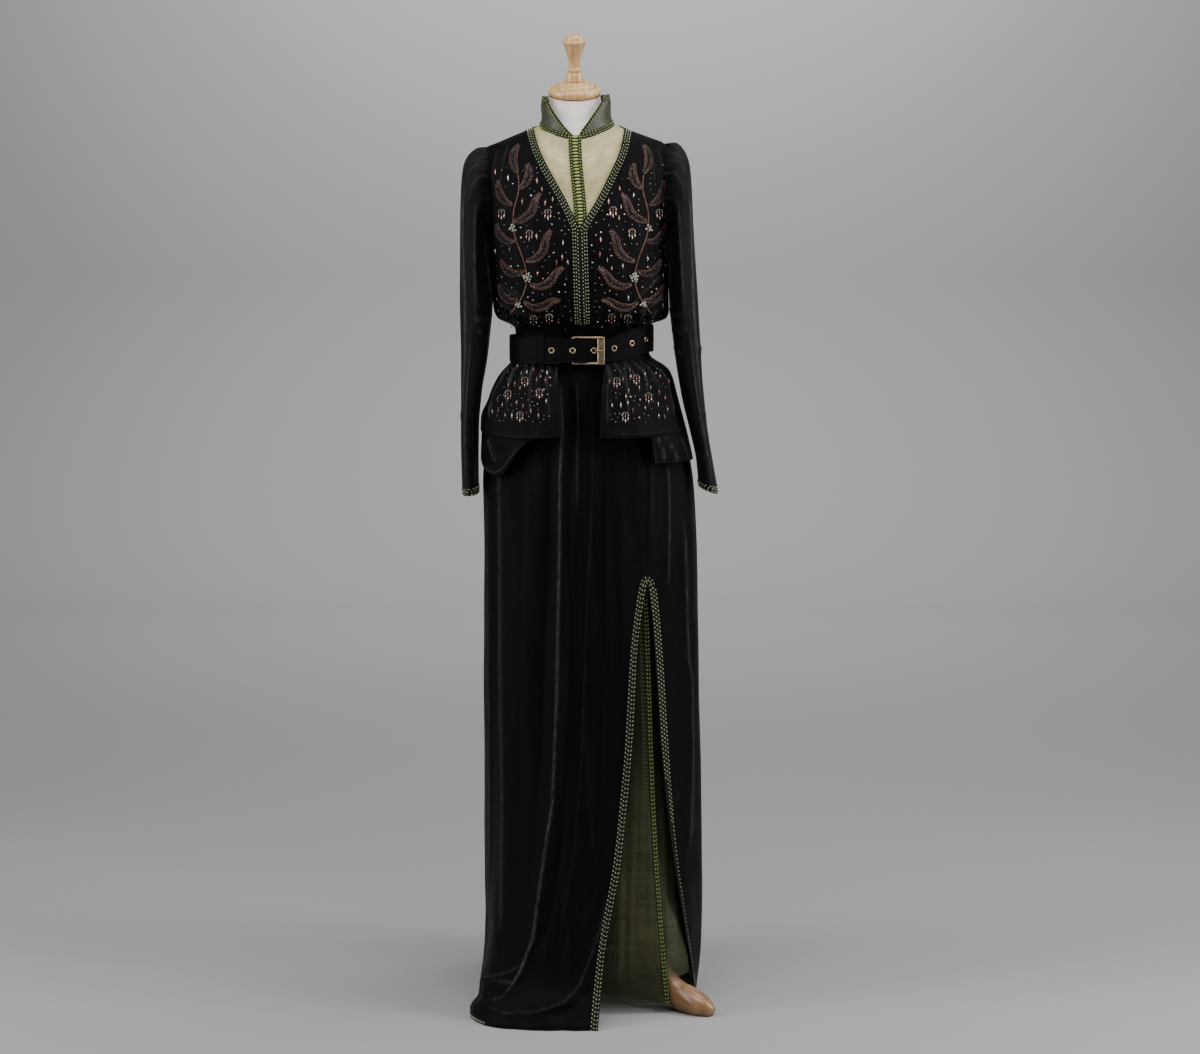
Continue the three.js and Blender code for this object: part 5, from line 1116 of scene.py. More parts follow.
peplums = {
    "front_left": peplum_grid(84, 84, peplum_edge("left"), fixed_turn(-172), peplum_hem(4), PEPLUM_CREASES),
    "front_right": peplum_grid(
        84, 76, peplum_edge("right"), lambda z: -mix(20, 24, smooth(1100, 980, z)) * RAD, peplum_hem(8),
        PEPLUM_CREASES),
    "long_left": peplum_grid(
        72, 90, fixed_turn(-118), fixed_turn(-270, 0.001),
        lambda t: read(FLAP_HEM, mix(-118, -270, t))["low"], LONG_CREASES),
    "long_right": peplum_grid(
        70, 72, fixed_turn(-44), fixed_turn(90, -0.001),
        lambda t: mix(926, 900, smooth(0.3, 1, t)), LONG_CREASES),
}
for name, (points, normals, nap) in peplums.items():
    layer = -VELVET - PEPLUM_LAYER if name.startswith("long") else 0
    shell(f"peplum_{name}", points, VELVET, velvet, "velvet", normals=normals, offset=layer, nap=nap)

# ---------- underdress: yokes, centre strip and collar ----------
STRIP_HALF, STRIP_TOP, YOKE_LOW = 10.5, 1465, 1338
COLLAR_MID_Y = -22
UNDERLAYER = -VELVET / 2 - GAP - ORGANZA / 2


def strip_x(z):
    return mix(7.6, -2.3, smooth(V_POINT, 1460, z))


def collar_base(angle):
    front = np.maximum(0, -np.sin(angle))
    return 1482.5 - 1.5 * (1 - np.cos(angle)) - 22 * front**2.2


def collar_ring(t):
    return {**read(COLLAR, t), "mid_y": COLLAR_MID_Y}


YOKE_CREASES = [
    ([(-60, 1462), (-46, 1438), (-40, 1410), (-24, 1380)], 6, 1.8),
    ([(-52, 1450), (-34, 1430), (-18, 1412)], 5, 1.6),
    ([(-28, 1456), (-24, 1420), (-16, 1388), (-14, 1366)], 5, 1.5),
    ([(-40, 1462), (-44, 1430), (-36, 1396)], 5, -1.2),
    ([(60, 1460), (44, 1440), (22, 1424), (12, 1400)], 6, 1.8),
    ([(64, 1446), (50, 1410), (26, 1370)], 6, 1.6),
    ([(34, 1458), (28, 1420), (16, 1384)], 5, 1.4),
    ([(50, 1456), (40, 1424), (34, 1396)], 5, -1.2),
]
YOKE_WAVES = [(46, 60, 0.4, 0.05), (-31, 44, 1.7, 0.04), (19, -30, 3.1, 0.03)]


def yoke(side, rows, columns):
    """One side of the sheer yoke, and how much denser it looks in its crumples."""
    sign = SIDES[side]
    level = np.linspace(FRONT_TOP, V_POINT, rows)[:, None]
    share = np.linspace(0, 1, columns)[None, :]
    inner_top = strip_x(1460) + sign * (STRIP_HALF + 2 * SEAM)
    x_top = mix(inner_top, V_NECK[side][-1] + sign * 8, share)
    base = collar_ring(np.zeros_like(x_top))
    in_collar = sign * x_top < sign * base[side]
    clipped = np.where(in_collar, x_top, 0)
    shoulder = ridge_height(np.full(x_top.shape, sign), x_top)
    top = np.where(in_collar, collar_base(angle_at_x(base, clipped)) - 0.6, shoulder)
    z = mix(top, YOKE_LOW, (FRONT_TOP - level) / (FRONT_TOP - V_POINT))
    x = mix(strip_x(z) + sign * (STRIP_HALF + 2 * SEAM), inner_edge_x(side, z) + sign * 9, share)
    angle = angle_at_x(read(BODICE, z), x)
    high = crease_height(x, z, YOKE_CREASES) * smooth(0, 0.2, share) * smooth(1, 0.75, share)
    folded = 0.05 + waves(x, z, YOKE_WAVES) + 0.1 * high + 0.1 * smooth(0.7, 1, share)
    return bodice(angle, z, high - 0.6 * np.abs(high)), folded


for side in SIDES:
    points, folded = yoke(side, rows=70, columns=40)
    shell(f"yoke_{side}", points, SHEER, organza_light, "organza", offset=UNDERLAYER, nap=folded)

strip_z = np.linspace(STRIP_TOP, V_POINT, 60)[:, None]
strip_across = np.linspace(-1, 1, 13)[None, :]
strip_angle = angle_at_x(read(BODICE, strip_z), strip_x(strip_z) + strip_across * STRIP_HALF)
strip_points = bodice(strip_angle, strip_z + 0 * strip_angle)
shell("centre_strip", strip_points, ORGANZA, lime_ground, "bright_braid", offset=UNDERLAYER)


def collar_start(t):
    return mix(-91, -152, t**1.2) * RAD


def collar_end(t):
    return mix(-87.5, -26, t**1.8) * RAD


def collar_grid(rows, columns):
    """The stand collar's grid, rolled out a little along its top and bottom."""
    t = np.linspace(0, 1, rows)[:, None]
    share = np.linspace(0, 1, columns)[None, :]
    span_angle = 2 * PI - (collar_end(t) - collar_start(t))
    angle = collar_start(t) - share * span_angle
    ring = collar_ring(t + 0 * share)
    z = collar_base(angle) + ring["lift"] * (0.93 + 0.07 * np.abs(np.cos(angle)))
    edge = np.minimum(share, 1 - share)
    roll = 1.6 * np.sin(PI * t) * smooth(0.0, 0.12, edge) * np.sin(9 * share * PI + 1)
    return ring_point(ring, angle, z, roll * 0.5)


collar_points = collar_grid(rows=44, columns=150)
collar_normals = outward(collar_points, centre=(0, COLLAR_MID_Y))
shell("collar", collar_points, COLLAR_WALL, satin, "satin", normals=collar_normals)

# ---------- underskirt ----------
UNDER_TOP, UNDER_LOW, UNDER_BRAID = 1109, 16, 9
# the right panel lies this far behind the left one
LAP = {"left": 0, "right": -4.3}
UNDER_FAR = {"left": -116 * RAD, "right": -3 * RAD}
UNDER_CREASES = [
    ([(112, 560), (110, 420), (106, 250), (102, 90)], 5, 2.2),
    ([(98, 430), (94, 300), (90, 160), (88, 40)], 5, 2.4),
    ([(122, 600), (121, 430), (122, 260), (124, 100)], 4, 1.8),
    ([(76, 300), (74, 180), (72, 40)], 6, 2.0), ([(132, 360), (134, 220), (138, 70)], 4, 1.8),
    ([(146, 420), (150, 250), (156, 90)], 5, 2.4), ([(162, 320), (168, 200), (172, 80)], 5, 2.2),
    ([(104, 330), (100, 200), (96, 60)], 4, -1.8), ([(84, 260), (82, 120), (80, 30)], 4, -1.8),
]


def under_hem(side, angle):
    if side == "left":
        return UNDER_LOW + 0 * angle
    return UNDER_LOW + 44 * smooth(-51 * RAD, -47 * RAD, angle) - 28 * smooth(-32 * RAD, -16 * RAD, angle)


def under_panel(side, rows, columns):
    """One side of the sheer underskirt, and how much denser it looks in its folds."""
    level = np.linspace(UNDER_TOP, UNDER_LOW, rows)[:, None]
    ring = read(UNDERSKIRT, level)
    edge = angle_at_x(ring, curve(UNDER_EDGE["z"], UNDER_EDGE[side], level))
    angle = mix(edge, UNDER_FAR[side], np.linspace(0, 1, columns)[None, :])
    share = (UNDER_TOP - level) / (UNDER_TOP - UNDER_LOW)
    z = mix(UNDER_TOP, under_hem(side, angle), share)
    x = underskirt(angle, z)[..., 0]
    high = crease_height(x, z, UNDER_CREASES) * smooth(0, 9, np.abs(angle - edge) / RAD * 2.2) - 0.6
    folded = smooth(52, 74, x) * smooth(30, 120, z) * smooth(520, 260, z) + 0.35 * np.maximum(0, high) / 2.4
    folded = folded * mix(0.3, 1, smooth(560, 300, z)) + 0.3 * smooth(430, 120, z)
    return underskirt(angle, z, high * smooth(1080, 900, z)), 0.3 * folded


for side in SIDES:
    points, folded = under_panel(side, rows=150, columns=46)
    shell(f"underskirt_{side}", points, SHEER, organza_dark, "organza", offset=LAP[side], nap=folded)


# ---------- braids ----------
def resample(line, normals, pitch):
    """Even steps along a line of points: centres, directions and normals."""
    along = distances(line)
    count = max(int(along[-1] / pitch), 2)
    at = (np.arange(count) + 0.5) * along[-1] / count
    direction = points_at(at + 0.5, along, line) - points_at(at - 0.5, along, line)
    return points_at(at, along, line), unit(direction), unit(points_at(at, along, normals))


def ball(segments, rings):
    """A unit ball with its poles on the X axis."""
    vertices, faces = [(-1.0, 0.0, 0.0)], []
    for i in range(1, rings):
        polar = PI * i / rings
        for k in range(segments):
            turn = 2 * PI * k / segments
            vertices.append(
                (-math.cos(polar), math.sin(polar) * math.cos(turn), math.sin(polar) * math.sin(turn)))
    vertices.append((1.0, 0.0, 0.0))
    last = len(vertices) - 1
    for k in range(segments):
        n = (k + 1) % segments
        faces.append([0, 1 + n, 1 + k])
        faces.append([last, last - segments + k, last - segments + n])
        for i in range(rings - 2):
            a = 1 + i * segments
            faces.append([a + k, a + n, a + segments + n, a + segments + k])
    return np.array(vertices), faces


FACETED, ROUND = ball(6, 4), ball(8, 6)


def oriented(template, centres, directions, normals, size, lean, jitter):
    """Copies laid on a surface. size is (along, across, high), and lean turns each about its normal."""
    vertices, faces = template
    parts = []
    for centre, direction, normal in zip(centres, directions, normals):
        side_way = np.cross(normal, direction)
        turn = lean + jitter * rng.normal()
        along = direction * math.cos(turn) + side_way * math.sin(turn)
        across = np.cross(normal, along)
        scale = 1 + 0.3 * jitter * rng.normal()
        ax, ay, az = along * size[0] * scale, across * size[1], normal * size[2]
        parts.append((vertices[:, :1] * ax + vertices[:, 1:2] * ay + vertices[:, 2:3] * az + centre, faces))
    return parts


# how far each stitch leans off its chain, in radians, and how high it sits on the braid
STITCH_LEAN, STITCH_LIFT = 0.62, 0.5


def chain(line, normals, across, pitch, size, rows, above=-1.0):
    """A chain of paired leaf stitches along a line, spread to both sides of it, above a height."""
    centre, direction, normal = resample(line, normals, pitch)
    kept = centre[:, 2] > above
    centre, direction, normal = centre[kept], direction[kept], normal[kept]
    side_way = np.cross(normal, direction)
    parts = []
    for row in rows:
        sign = 1 if row > 0 else -1
        at = centre + side_way * (row * across) + normal * STITCH_LIFT + direction * (0 if row else pitch / 2)
        parts += oriented(FACETED, at, direction, normal, size, -sign * STITCH_LEAN, 0.1)
    return parts


def band(name, points, normals, lift, style):
    """A braid: a thin ground with chains of leaf stitches, in one of the styles below."""
    thick = style["thick"]
    shell(name, points, thick, style["ground"], style["slot"], normals=normals, offset=lift + thick / 2)
    parts = []
    columns = points.shape[1] - 1
    for share, spread, rows, above in style["chains"]:
        at = share * columns
        low = min(int(at), columns - 1)
        line = mix(points[:, low], points[:, low + 1], at - low)
        way = mix(normals[:, low], normals[:, low + 1], at - low)
        parts += chain(line + way * (lift + thick), way, spread, style["pitch"], style["leaf"], rows, above)
    joined(name + "_stitches", parts, style["thread"], style["slot"])


def edge_band(points, normals, width, first, last, columns=7):
    """A band of a real width along a grid's first column, following the cloth."""
    rows = points[first:last]
    steps = np.linalg.norm(np.diff(rows, axis=1), axis=2)
    walked = np.concatenate([np.zeros((len(rows), 1)), np.cumsum(steps, axis=1)], axis=1)
    width = np.broadcast_to(width, len(rows))
    band_points = np.empty((len(rows), columns, 3))
    band_normals = np.empty((len(rows), columns, 3))
    for i in range(len(rows)):
        wanted = np.linspace(0, width[i], columns)
        band_points[i] = points_at(wanted, walked[i], rows[i])
        band_normals[i] = points_at(wanted, walked[i], normals[first + i])
    return band_points, unit(band_normals)


def first_below(points, height):
    """The first row of a grid whose first column is at or below a height."""
    return int(np.searchsorted(-points[:, 0, 2], -height))


# A style's pitch and leaf are the stitches' spacing and (half length, half width, half height), and its
# chains are (share across the band, half spread, sides that the stitches go to, lowest height).
LIME_LEAF, SMALL_LEAF = (1.75, 0.7, 0.8), (1.25, 0.6, 0.65)
DARK = {
    "ground": dark_ground, "thread": leaf_thread, "slot": "braid", "thick": 0.9, "leaf": (1.65, 0.62, 0.7)}
BRIGHT = {"ground": lime_ground, "thread": lime_thread, "slot": "bright_braid"}
NECK_BRAID = {
    **DARK, "pitch": 5.9, "leaf": SMALL_LEAF, "chains": [(0.26, 0.0, (0,), 0), (0.7, 1.9, (-1, 1), 0)]}
CUFF_BRAID = {**DARK, "pitch": 7.6, "chains": [(0.62, 2.35, (-1, 1), 0), (0.12, 0.0, (0,), 0)]}
SLIT_BRAIDS = {
    "left": {**DARK, "pitch": 7.0, "chains": [(0.38, 2.35, (-1, 1), 0), (0.88, 0.0, (0,), 0)]},
    "right": {
        **DARK, "pitch": 7.0, "leaf": (1.6, 0.75, 0.4),
        "chains": [(0.2, 0.0, (0,), 400), (0.51, 0.0, (-1,), 320), (0.82, 0.0, (0,), 0)]},
}
ARCH_BRAID = {
    **DARK, "pitch": 5.4, "leaf": SMALL_LEAF, "chains": [(0.66, 2.4, (-1, 1), 0), (0.2, 0.0, (0,), 0)]}
HEM_BRAID = {**DARK, "pitch": 6.4, "leaf": (1.5, 1.3, 0.9), "chains": [(0.5, 0.0, (0,), 0)]}
COLLAR_BRAID = {**BRIGHT, "pitch": 5.6, "thick": 0.8, "leaf": LIME_LEAF, "chains": [(0.5, 2.1, (-1, 1), 0)]}
# the right edge's stitches take the darker copy of the lime thread, painted shade where that edge lies behind
# the left panel
UNDER_EDGES = {
    side: {**BRIGHT, "thread": thread, "pitch": 6.8, "thick": 0.5, "leaf": (2.3, 0.75, 0.85),
           "chains": [(0.5, 2.2, (-1, 1), 0)]}
    for side, thread in (("left", lime_thread), ("right", shaded_lime_thread))}
# the right slit braid turns away and thins out towards the floor: its widths there and higher up
RIGHT_BRAID = (8.5, 15.5)
TRIM_END_Z, CUFF_HEIGHT, HEM_HEIGHT, COLLAR_FRONT_WIDTH = 1156, 13, 9.5, 8
ON_VELVET, ON_COLLAR = VELVET / 2, COLLAR_WALL / 2
for side in SIDES:
    points, normals = surfaces[f"bodice_front_{side}"]
    grid = edge_band(points, normals, BRAID_WIDTH, 0, first_below(points, TRIM_END_Z))
    band(f"neck_trim_{side}", *grid, ON_VELVET, NECK_BRAID)
    points, normals = surfaces[f"skirt_front_{side}"]
    first = first_below(points, SLIT_TOP)
    wide = BRAID_WIDTH if side == "left" else mix(*RIGHT_BRAID, smooth(240, 470, points[first:, 0, 2]))
    grid = edge_band(points, normals, wide, first, len(points))
    band(f"slit_trim_{side}", *grid, ON_VELVET, SLIT_BRAIDS[side])
    # the cuff's band runs round the sleeve and closes on its own first row
    points, normals = surfaces[f"sleeve_{side}"]
    first = first_below(points, points[-1, 0, 2] + CUFF_HEIGHT)
    around = [np.swapaxes(rows[first:], 0, 1) for rows in (points, normals)]
    band(f"cuff_trim_{side}", *(np.concatenate([rows, rows[:1]]) for rows in around), ON_VELVET, CUFF_BRAID)

# the two slit braids meet over the top of the slit in a rounded arch
ARCH_RISE, ARCH_LAP, ARCH_INSIDE, SKIRT_AXIS = 13, 4, (0.8, 1.2), (21.0, -10.0)
points, normals = surfaces["skirt_front_left"]
arch_turn = np.linspace(0, PI, 30)
across, up = np.cos(arch_turn), np.sin(arch_turn)
slit_middle = float(slit_edge_angle("left", np.array(float(SLIT_TOP))))
slit_place = skirt(np.array(slit_middle), np.array(float(SLIT_TOP)))
slit_radius = np.linalg.norm(slit_place[:2] - np.array(SKIRT_AXIS))
arch_outer = skirt(
    slit_middle - across * BRAID_WIDTH / slit_radius, SLIT_TOP + up * ARCH_RISE - ARCH_LAP * (1 - up))
arch_inner = skirt(
    slit_middle - across * ARCH_INSIDE[0] / slit_radius, SLIT_TOP + up * ARCH_INSIDE[1] - ARCH_LAP)
arch_points = mix(arch_inner[:, None], arch_outer[:, None], np.linspace(0, 1, 7)[None, :, None])
arch_normals = np.broadcast_to(normals[first_below(points, SLIT_TOP), 0], arch_points.shape)
band("slit_trim_top", arch_points, arch_normals, ON_VELVET + GAP, ARCH_BRAID)

# the hem braid shows only where the train lies at the left corner
hem_first, hem_column = first_below(points, HEM_HEIGHT), int(points.shape[1] * 0.4)
hem = (np.swapaxes(rows[hem_first:, hem_column:], 0, 1) for rows in (points, normals))
band("hem_trim", *hem, ON_VELVET, HEM_BRAID)

# bright braid on the collar's edges
rows = len(collar_points)
base_last, top_first = int(0.16 * rows) + 1, int(0.85 * rows)
for name, first, last in (("base", 0, base_last), ("top", top_first, rows)):
    around = (np.swapaxes(each[first:last], 0, 1) for each in (collar_points, collar_normals))
    band(f"collar_{name}_trim", *around, ON_COLLAR, COLLAR_BRAID)
for side, way in (("left", 1), ("right", -1)):
    grid = edge_band(
        collar_points[:, ::way], collar_normals[:, ::way], COLLAR_FRONT_WIDTH, base_last - 1, top_first + 1)
    band(f"collar_front_trim_{side}", *grid, ON_COLLAR, COLLAR_BRAID)

# the centre strip: a ladder of small knots on its middle column, between chains near its two edges
strip_normals = surfaces["centre_strip"][1]
strip_lift = -VELVET / 2 - GAP
parts = []
for column in (1, 11):
    line = strip_points[:, column] + strip_normals[:, column] * strip_lift
    parts += chain(line, strip_normals[:, column], 1.5, 5.0, LIME_LEAF, rows=(-1, 1))
centre, direction, normal = resample(strip_points[:, 6], strip_normals[:, 6], 5.7)
parts += oriented(ROUND, centre + normal * (strip_lift + 0.6), direction, normal, (1.7, 5.2, 1.3), 0, 0.05)
joined("centre_strip_stitches", parts, lime_thread, "bright_braid")

# bright chains on the underskirt's two overlapping edges
for side in SIDES:
    points, normals = surfaces[f"underskirt_{side}"]
    grid = edge_band(points, normals, UNDER_BRAID, first_below(points, SLIT_TOP), len(points), 4)
    band(f"underskirt_braid_{side}", *grid, LAP[side] + ORGANZA / 2, UNDER_EDGES[side])

# ---------- belt ----------
# The strap lies in two layers, inner and outer, off the waist. It rises towards the right, and is
# pinched where the buckle holds it.
BELT = {"height": 44, "thick": 3, "inner": 11.9, "outer": 15.3, "z": 1112, "rise": 17, "pinch": 5.8}
STRAP = {"start_x": -9.5, "end_x": -92, "thick": 2.6, "puff": 0.45, "back": 0.25}
BUCKLE = {"left_x": -6, "right_x": 40, "high": 46, "bar": 3.2, "wide": 12, "thick": 2.4, "clear": 0.9}
EYELET = {"outer": 5.2, "inner": 3.0, "spacing": 35, "prong_x": 28.8}
waist_ring = {name: values[-1] for name, values in SKIRT.items() if name != "z"}


def belt_normal(angle):
    tangent = unit(ring_point(waist_ring, angle + 0.01, 0) - ring_point(waist_ring, angle - 0.01, 0))
    return np.stack([tangent[..., 1], -tangent[..., 0], 0 * tangent[..., 0]], axis=-1)


def belt_point(angle, offset, up=0.0):
    angle = np.asarray(angle, dtype=float)
    point = ring_point(waist_ring, angle, 0.0) + belt_normal(angle) * np.asarray(offset)[..., None]
    point[..., 2] = BELT["z"] + BELT["rise"] * smooth(38, 125, point[..., 0]) + up
    return point


def belt_angle(x):
    low, high = -PI, 0.0
    for _ in range(30):
        middle = (low + high) / 2
        if belt_point(middle, BELT["outer"])[0] < x:
            low = middle
        else:
            high = middle
    return low


def strap_height(angle):
    x = belt_point(angle, BELT["inner"])[..., 0]
    held = smooth(-36, -14, x) * (1 - smooth(52, 74, x)) * (np.sin(angle) < 0)
    return BELT["height"] - BELT["pinch"] * held


strap_start = belt_angle(STRAP["start_x"])
strap_turn = 2 * PI + strap_start - belt_angle(STRAP["end_x"])


def strap_offset(turned):
    return mix(BELT["inner"], BELT["outer"], smooth(300 * RAD, 345 * RAD, turned))


turned = np.linspace(0, strap_turn, 300)
strap_angle = strap_start - turned
half_height = strap_height(strap_angle) / 2
# the free end is cut to a blunt point
half_height = half_height * (1 - 0.4 * smooth(strap_turn - 0.03, strap_turn, turned))
STRAP_ACROSS = np.linspace(1, -1, 15)
strap_grid = np.stack([
    belt_point(
        strap_angle, strap_offset(turned) + STRAP["puff"] * (1 - up**4) - STRAP["back"], half_height * up)
    for up in STRAP_ACROSS])
strap_ways = np.stack([belt_normal(strap_angle) for _ in STRAP_ACROSS])
shell("belt_strap", strap_grid, STRAP["thick"], strap_velvet, "strap", normals=strap_ways)


def on_belt(vertices, angle, offset):
    """Stands a shape drawn round +Z on the belt, with its axis along the belt's outward normal."""
    normal = belt_normal(np.asarray(angle))
    tangent = np.array([-normal[1], normal[0], 0.0])
    turned_to = np.stack([tangent, (0, 0, 1.0), normal])
    return sum(vertices[:, k:k + 1] * turned_to[k] for k in range(3)) + belt_point(angle, offset)


eyelet_angles = []
for count in range(-2, 4):
    angle = belt_angle(EYELET["prong_x"])
    step = 0.002 * np.sign(count)
    walked = 0.0
    while walked < abs(count) * EYELET["spacing"]:
        ahead = belt_point(angle + step, BELT["outer"])
        walked += np.linalg.norm(ahead - belt_point(angle, BELT["outer"]))
        angle += step
    eyelet_angles.append(angle)

eyelet_low = BELT["thick"] / 2 - 0.2
EYELET_PROFILE = [
    (EYELET["inner"], eyelet_low - 0.6), (EYELET["outer"], eyelet_low),
    (EYELET["outer"] - 0.1, eyelet_low + 0.5), (EYELET["outer"] - 0.7, eyelet_low + 1.0),
    (EYELET["inner"] + 0.9, eyelet_low + 1.15), (EYELET["inner"] + 0.2, eyelet_low + 0.8),
    (EYELET["inner"], eyelet_low + 0.2),
]
hole = spin([(0.1, eyelet_low + 0.15), (EYELET["inner"], eyelet_low + 0.15)], 24)
hole_parts = []
for index, angle in enumerate(eyelet_angles):
    past = strap_start - angle + 2 * PI if angle > strap_start else 2 * PI + strap_start - angle
    offset = float(strap_offset(past))
    vertices, faces = spin(EYELET_PROFILE, 28, cap=False)
    add_piece(f"eyelet_{index + 1}", on_belt(vertices, angle, offset), faces, gold, "metal")
    hole_parts.append((on_belt(hole[0], angle, offset), hole[1]))
joined("eyelet_holes", hole_parts, strap_velvet, "strap")

# the keeper loop: a rounded band of velvet round both layers
KEEPER = {"x": -59, "half_wide": 7, "room": 1.9, "puff": 0.35, "roundness": 0.28}
keeper_angle = belt_angle(KEEPER["x"])
keeper_half = float(strap_height(np.array(keeper_angle))) / 2 + 0.5
keeper_in, keeper_out = BELT["inner"] - KEEPER["room"], BELT["outer"] + KEEPER["room"]
keeper_round = np.linspace(0, 2 * PI, 48, endpoint=False)
keeper_rows = []
for along in np.linspace(-KEEPER["half_wide"], KEEPER["half_wide"], 9):
    puff = KEEPER["puff"] * math.cos(along / KEEPER["half_wide"] * PI / 2)
    deep = (keeper_out - keeper_in) / 2 + 0.5 + puff
    high = keeper_half + 0.5 + puff
    c, s = np.cos(keeper_round), np.sin(keeper_round)
    power = KEEPER["roundness"]
    section = np.stack([
        np.full_like(c, along), high * np.sign(s) * np.abs(s) ** power,
        (keeper_in + keeper_out) / 2 + deep * np.sign(c) * np.abs(c) ** power], axis=-1)
    keeper_rows.append(on_belt(section, keeper_angle, 0.0))
shell("belt_keeper", np.array(keeper_rows), 0.9, strap_velvet, "strap", wrap=True)


def rounded_frame(outer, inner, radius, sides):
    """Two matching rounded rectangles, (x0, x1, half height), as rings of (x, y) points."""
    rings = []
    for (x0, x1, half), r in ((outer, radius), (inner, radius * 0.6)):
        ring = []
        corners = [(x1 - r, half - r), (x0 + r, half - r), (x0 + r, r - half), (x1 - r, r - half)]
        for corner, (cx, cy) in enumerate(corners):
            for k in range(sides + 1):
                turn = (corner + k / sides) * PI / 2
                ring.append((cx + r * math.cos(turn), cy + r * math.sin(turn)))
        rings.append(np.array(ring))
    return rings


left_bar = belt_point(belt_angle(BUCKLE["left_x"]), BELT["inner"] - 0.2)
right_bar = belt_point(
    belt_angle(BUCKLE["right_x"]), BELT["outer"] + BELT["thick"] / 2 + BUCKLE["clear"] + BUCKLE["thick"] / 2)
buckle_way = right_bar - left_bar
frame_x1 = np.linalg.norm(buckle_way) + BUCKLE["wide"] / 2
buckle_way = unit(buckle_way)
buckle_up = np.array([0, 0, 1.0])
buckle_out = np.cross(buckle_way, buckle_up)
outer_ring, inner_ring = rounded_frame(
    (-BUCKLE["bar"] / 2, frame_x1, BUCKLE["high"] / 2),
    (BUCKLE["bar"] / 2, frame_x1 - BUCKLE["wide"], BUCKLE["high"] / 2 - BUCKLE["bar"]), 2.6, 6)
half_thick, soft_edge = BUCKLE["thick"] / 2, 0.7
towards = unit(inner_ring - outer_ring)
section = [
    (outer_ring, -half_thick + soft_edge), (outer_ring + towards * soft_edge, -half_thick),
    (inner_ring - towards * soft_edge, -half_thick), (inner_ring, -half_thick + soft_edge),
    (inner_ring, half_thick - soft_edge), (inner_ring - towards * soft_edge, half_thick - 0.15),
    (mix(outer_ring, inner_ring, 0.5), half_thick), (outer_ring + towards * soft_edge, half_thick - 0.15),
    (outer_ring, half_thick - soft_edge),
]
vertices = [
    ring[:, :1] * buckle_way + ring[:, 1:] * buckle_up + high * buckle_out + left_bar
    for ring, high in section]
faces = ring_faces(len(section), len(outer_ring), closed=True)
add_piece("buckle_frame", np.concatenate(vertices), faces, gold, "metal")

# the prong's line: x, and how far off the belt's outer layer
PRONG = [(-3.4, -3.8), (12, -4.0), (24, -3.6), (28.9, -0.2), (32.5, 5.4), (37, 6.7), (44, 7.4)]
prong_at = np.array([belt_point(belt_angle(x), BELT["outer"] + out) for x, out in PRONG])
prong_line = curve(np.arange(len(PRONG)), prong_at, np.linspace(0, len(PRONG) - 1, 60))


def tube(line, radius, sides):
    """A round bar along a line, with a radius at each of its points."""
    way = unit(np.gradient(line, axis=0))
    first = unit(np.cross(way, np.array([0, 0, 1.0])))
    second = np.cross(way, first)
    turn = np.linspace(0, 2 * PI, sides, endpoint=False)
    rings = (line[:, None] + radius[:, None, None] * (
        first[:, None] * np.cos(turn)[None, :, None] + second[:, None] * np.sin(turn)[None, :, None]))
    return rings.reshape(-1, 3), ring_faces(len(line), sides) + end_caps(len(line), sides)


prong_radius = 1.0 - 0.35 * np.linspace(0, 1, 60) ** 4
add_piece("buckle_prong", *tube(prong_line, prong_radius, 12), gold, "metal")

# ---------- dress form and stand ----------
CAP = {"x": -3.5, "y": -20, "z": 1528, "tilt": 15}
NECK_TOP, NECK_LEAN_HEIGHT = 1533, 46


def loft_rings(name, rings, material, slot):
    """A closed smooth body through rings, with fans over both ends."""
    rows, sides = rings.shape[:2]
    vertices = np.concatenate([rings.reshape(-1, 3), rings[:1].mean(axis=1), rings[-1:].mean(axis=1)])
    faces = ring_faces(rows, sides)
    for k in range(sides):
        n = (k + 1) % sides
        faces.append([rows * sides, n, k])
        faces.append([rows * sides + 1, (rows - 1) * sides + k, (rows - 1) * sides + n])
    around = np.linspace(0, 0.8, sides)
    uv = np.stack(np.broadcast_arrays(around[None, :], rings[..., 2] * MM), axis=-1).reshape(-1, 2)
    add_piece(name, vertices, faces, material, slot, uv=np.concatenate([uv, [[0, 0], [0, 0]]]))


form_z = np.concatenate(
    [np.linspace(800, 812, 6), np.linspace(820, 1440, 90), np.linspace(1443, NECK_TOP, 60)])[:, None]
form_turn = np.linspace(0, 2 * PI, 120, endpoint=False)
form_rings = ring_point(read(FORM, form_z), form_turn[None, :], form_z)
lean = smooth(NECK_TOP - NECK_LEAN_HEIGHT, NECK_TOP, form_z) * math.tan(CAP["tilt"] * RAD)
form_rings[..., 2] += (form_rings[..., 1] - CAP["y"]) * lean
loft_rings("form_torso", form_rings, jersey, "jersey")


def turned_body(profile, sides):
    """A lathe body with its profile rounded a little between the given points."""
    profile = np.array(profile, dtype=float)
    lengths = distances(profile)
    at = np.unique(np.concatenate([np.linspace(0, lengths[-1], 3 * len(profile)), lengths]))
    radius, height = curve(lengths, profile[:, 0], at), curve(lengths, profile[:, 1], at)
    return spin([(max(r, 0.05), h) for r, h in zip(radius, height)], sides)


def on_neck(vertices):
    c, s = math.cos(CAP["tilt"] * RAD), math.sin(CAP["tilt"] * RAD)
    y, z = vertices[:, 1] * c - vertices[:, 2] * s, vertices[:, 1] * s + vertices[:, 2] * c
    return np.stack([vertices[:, 0] + CAP["x"], y + CAP["y"], z + CAP["z"]], axis=-1)


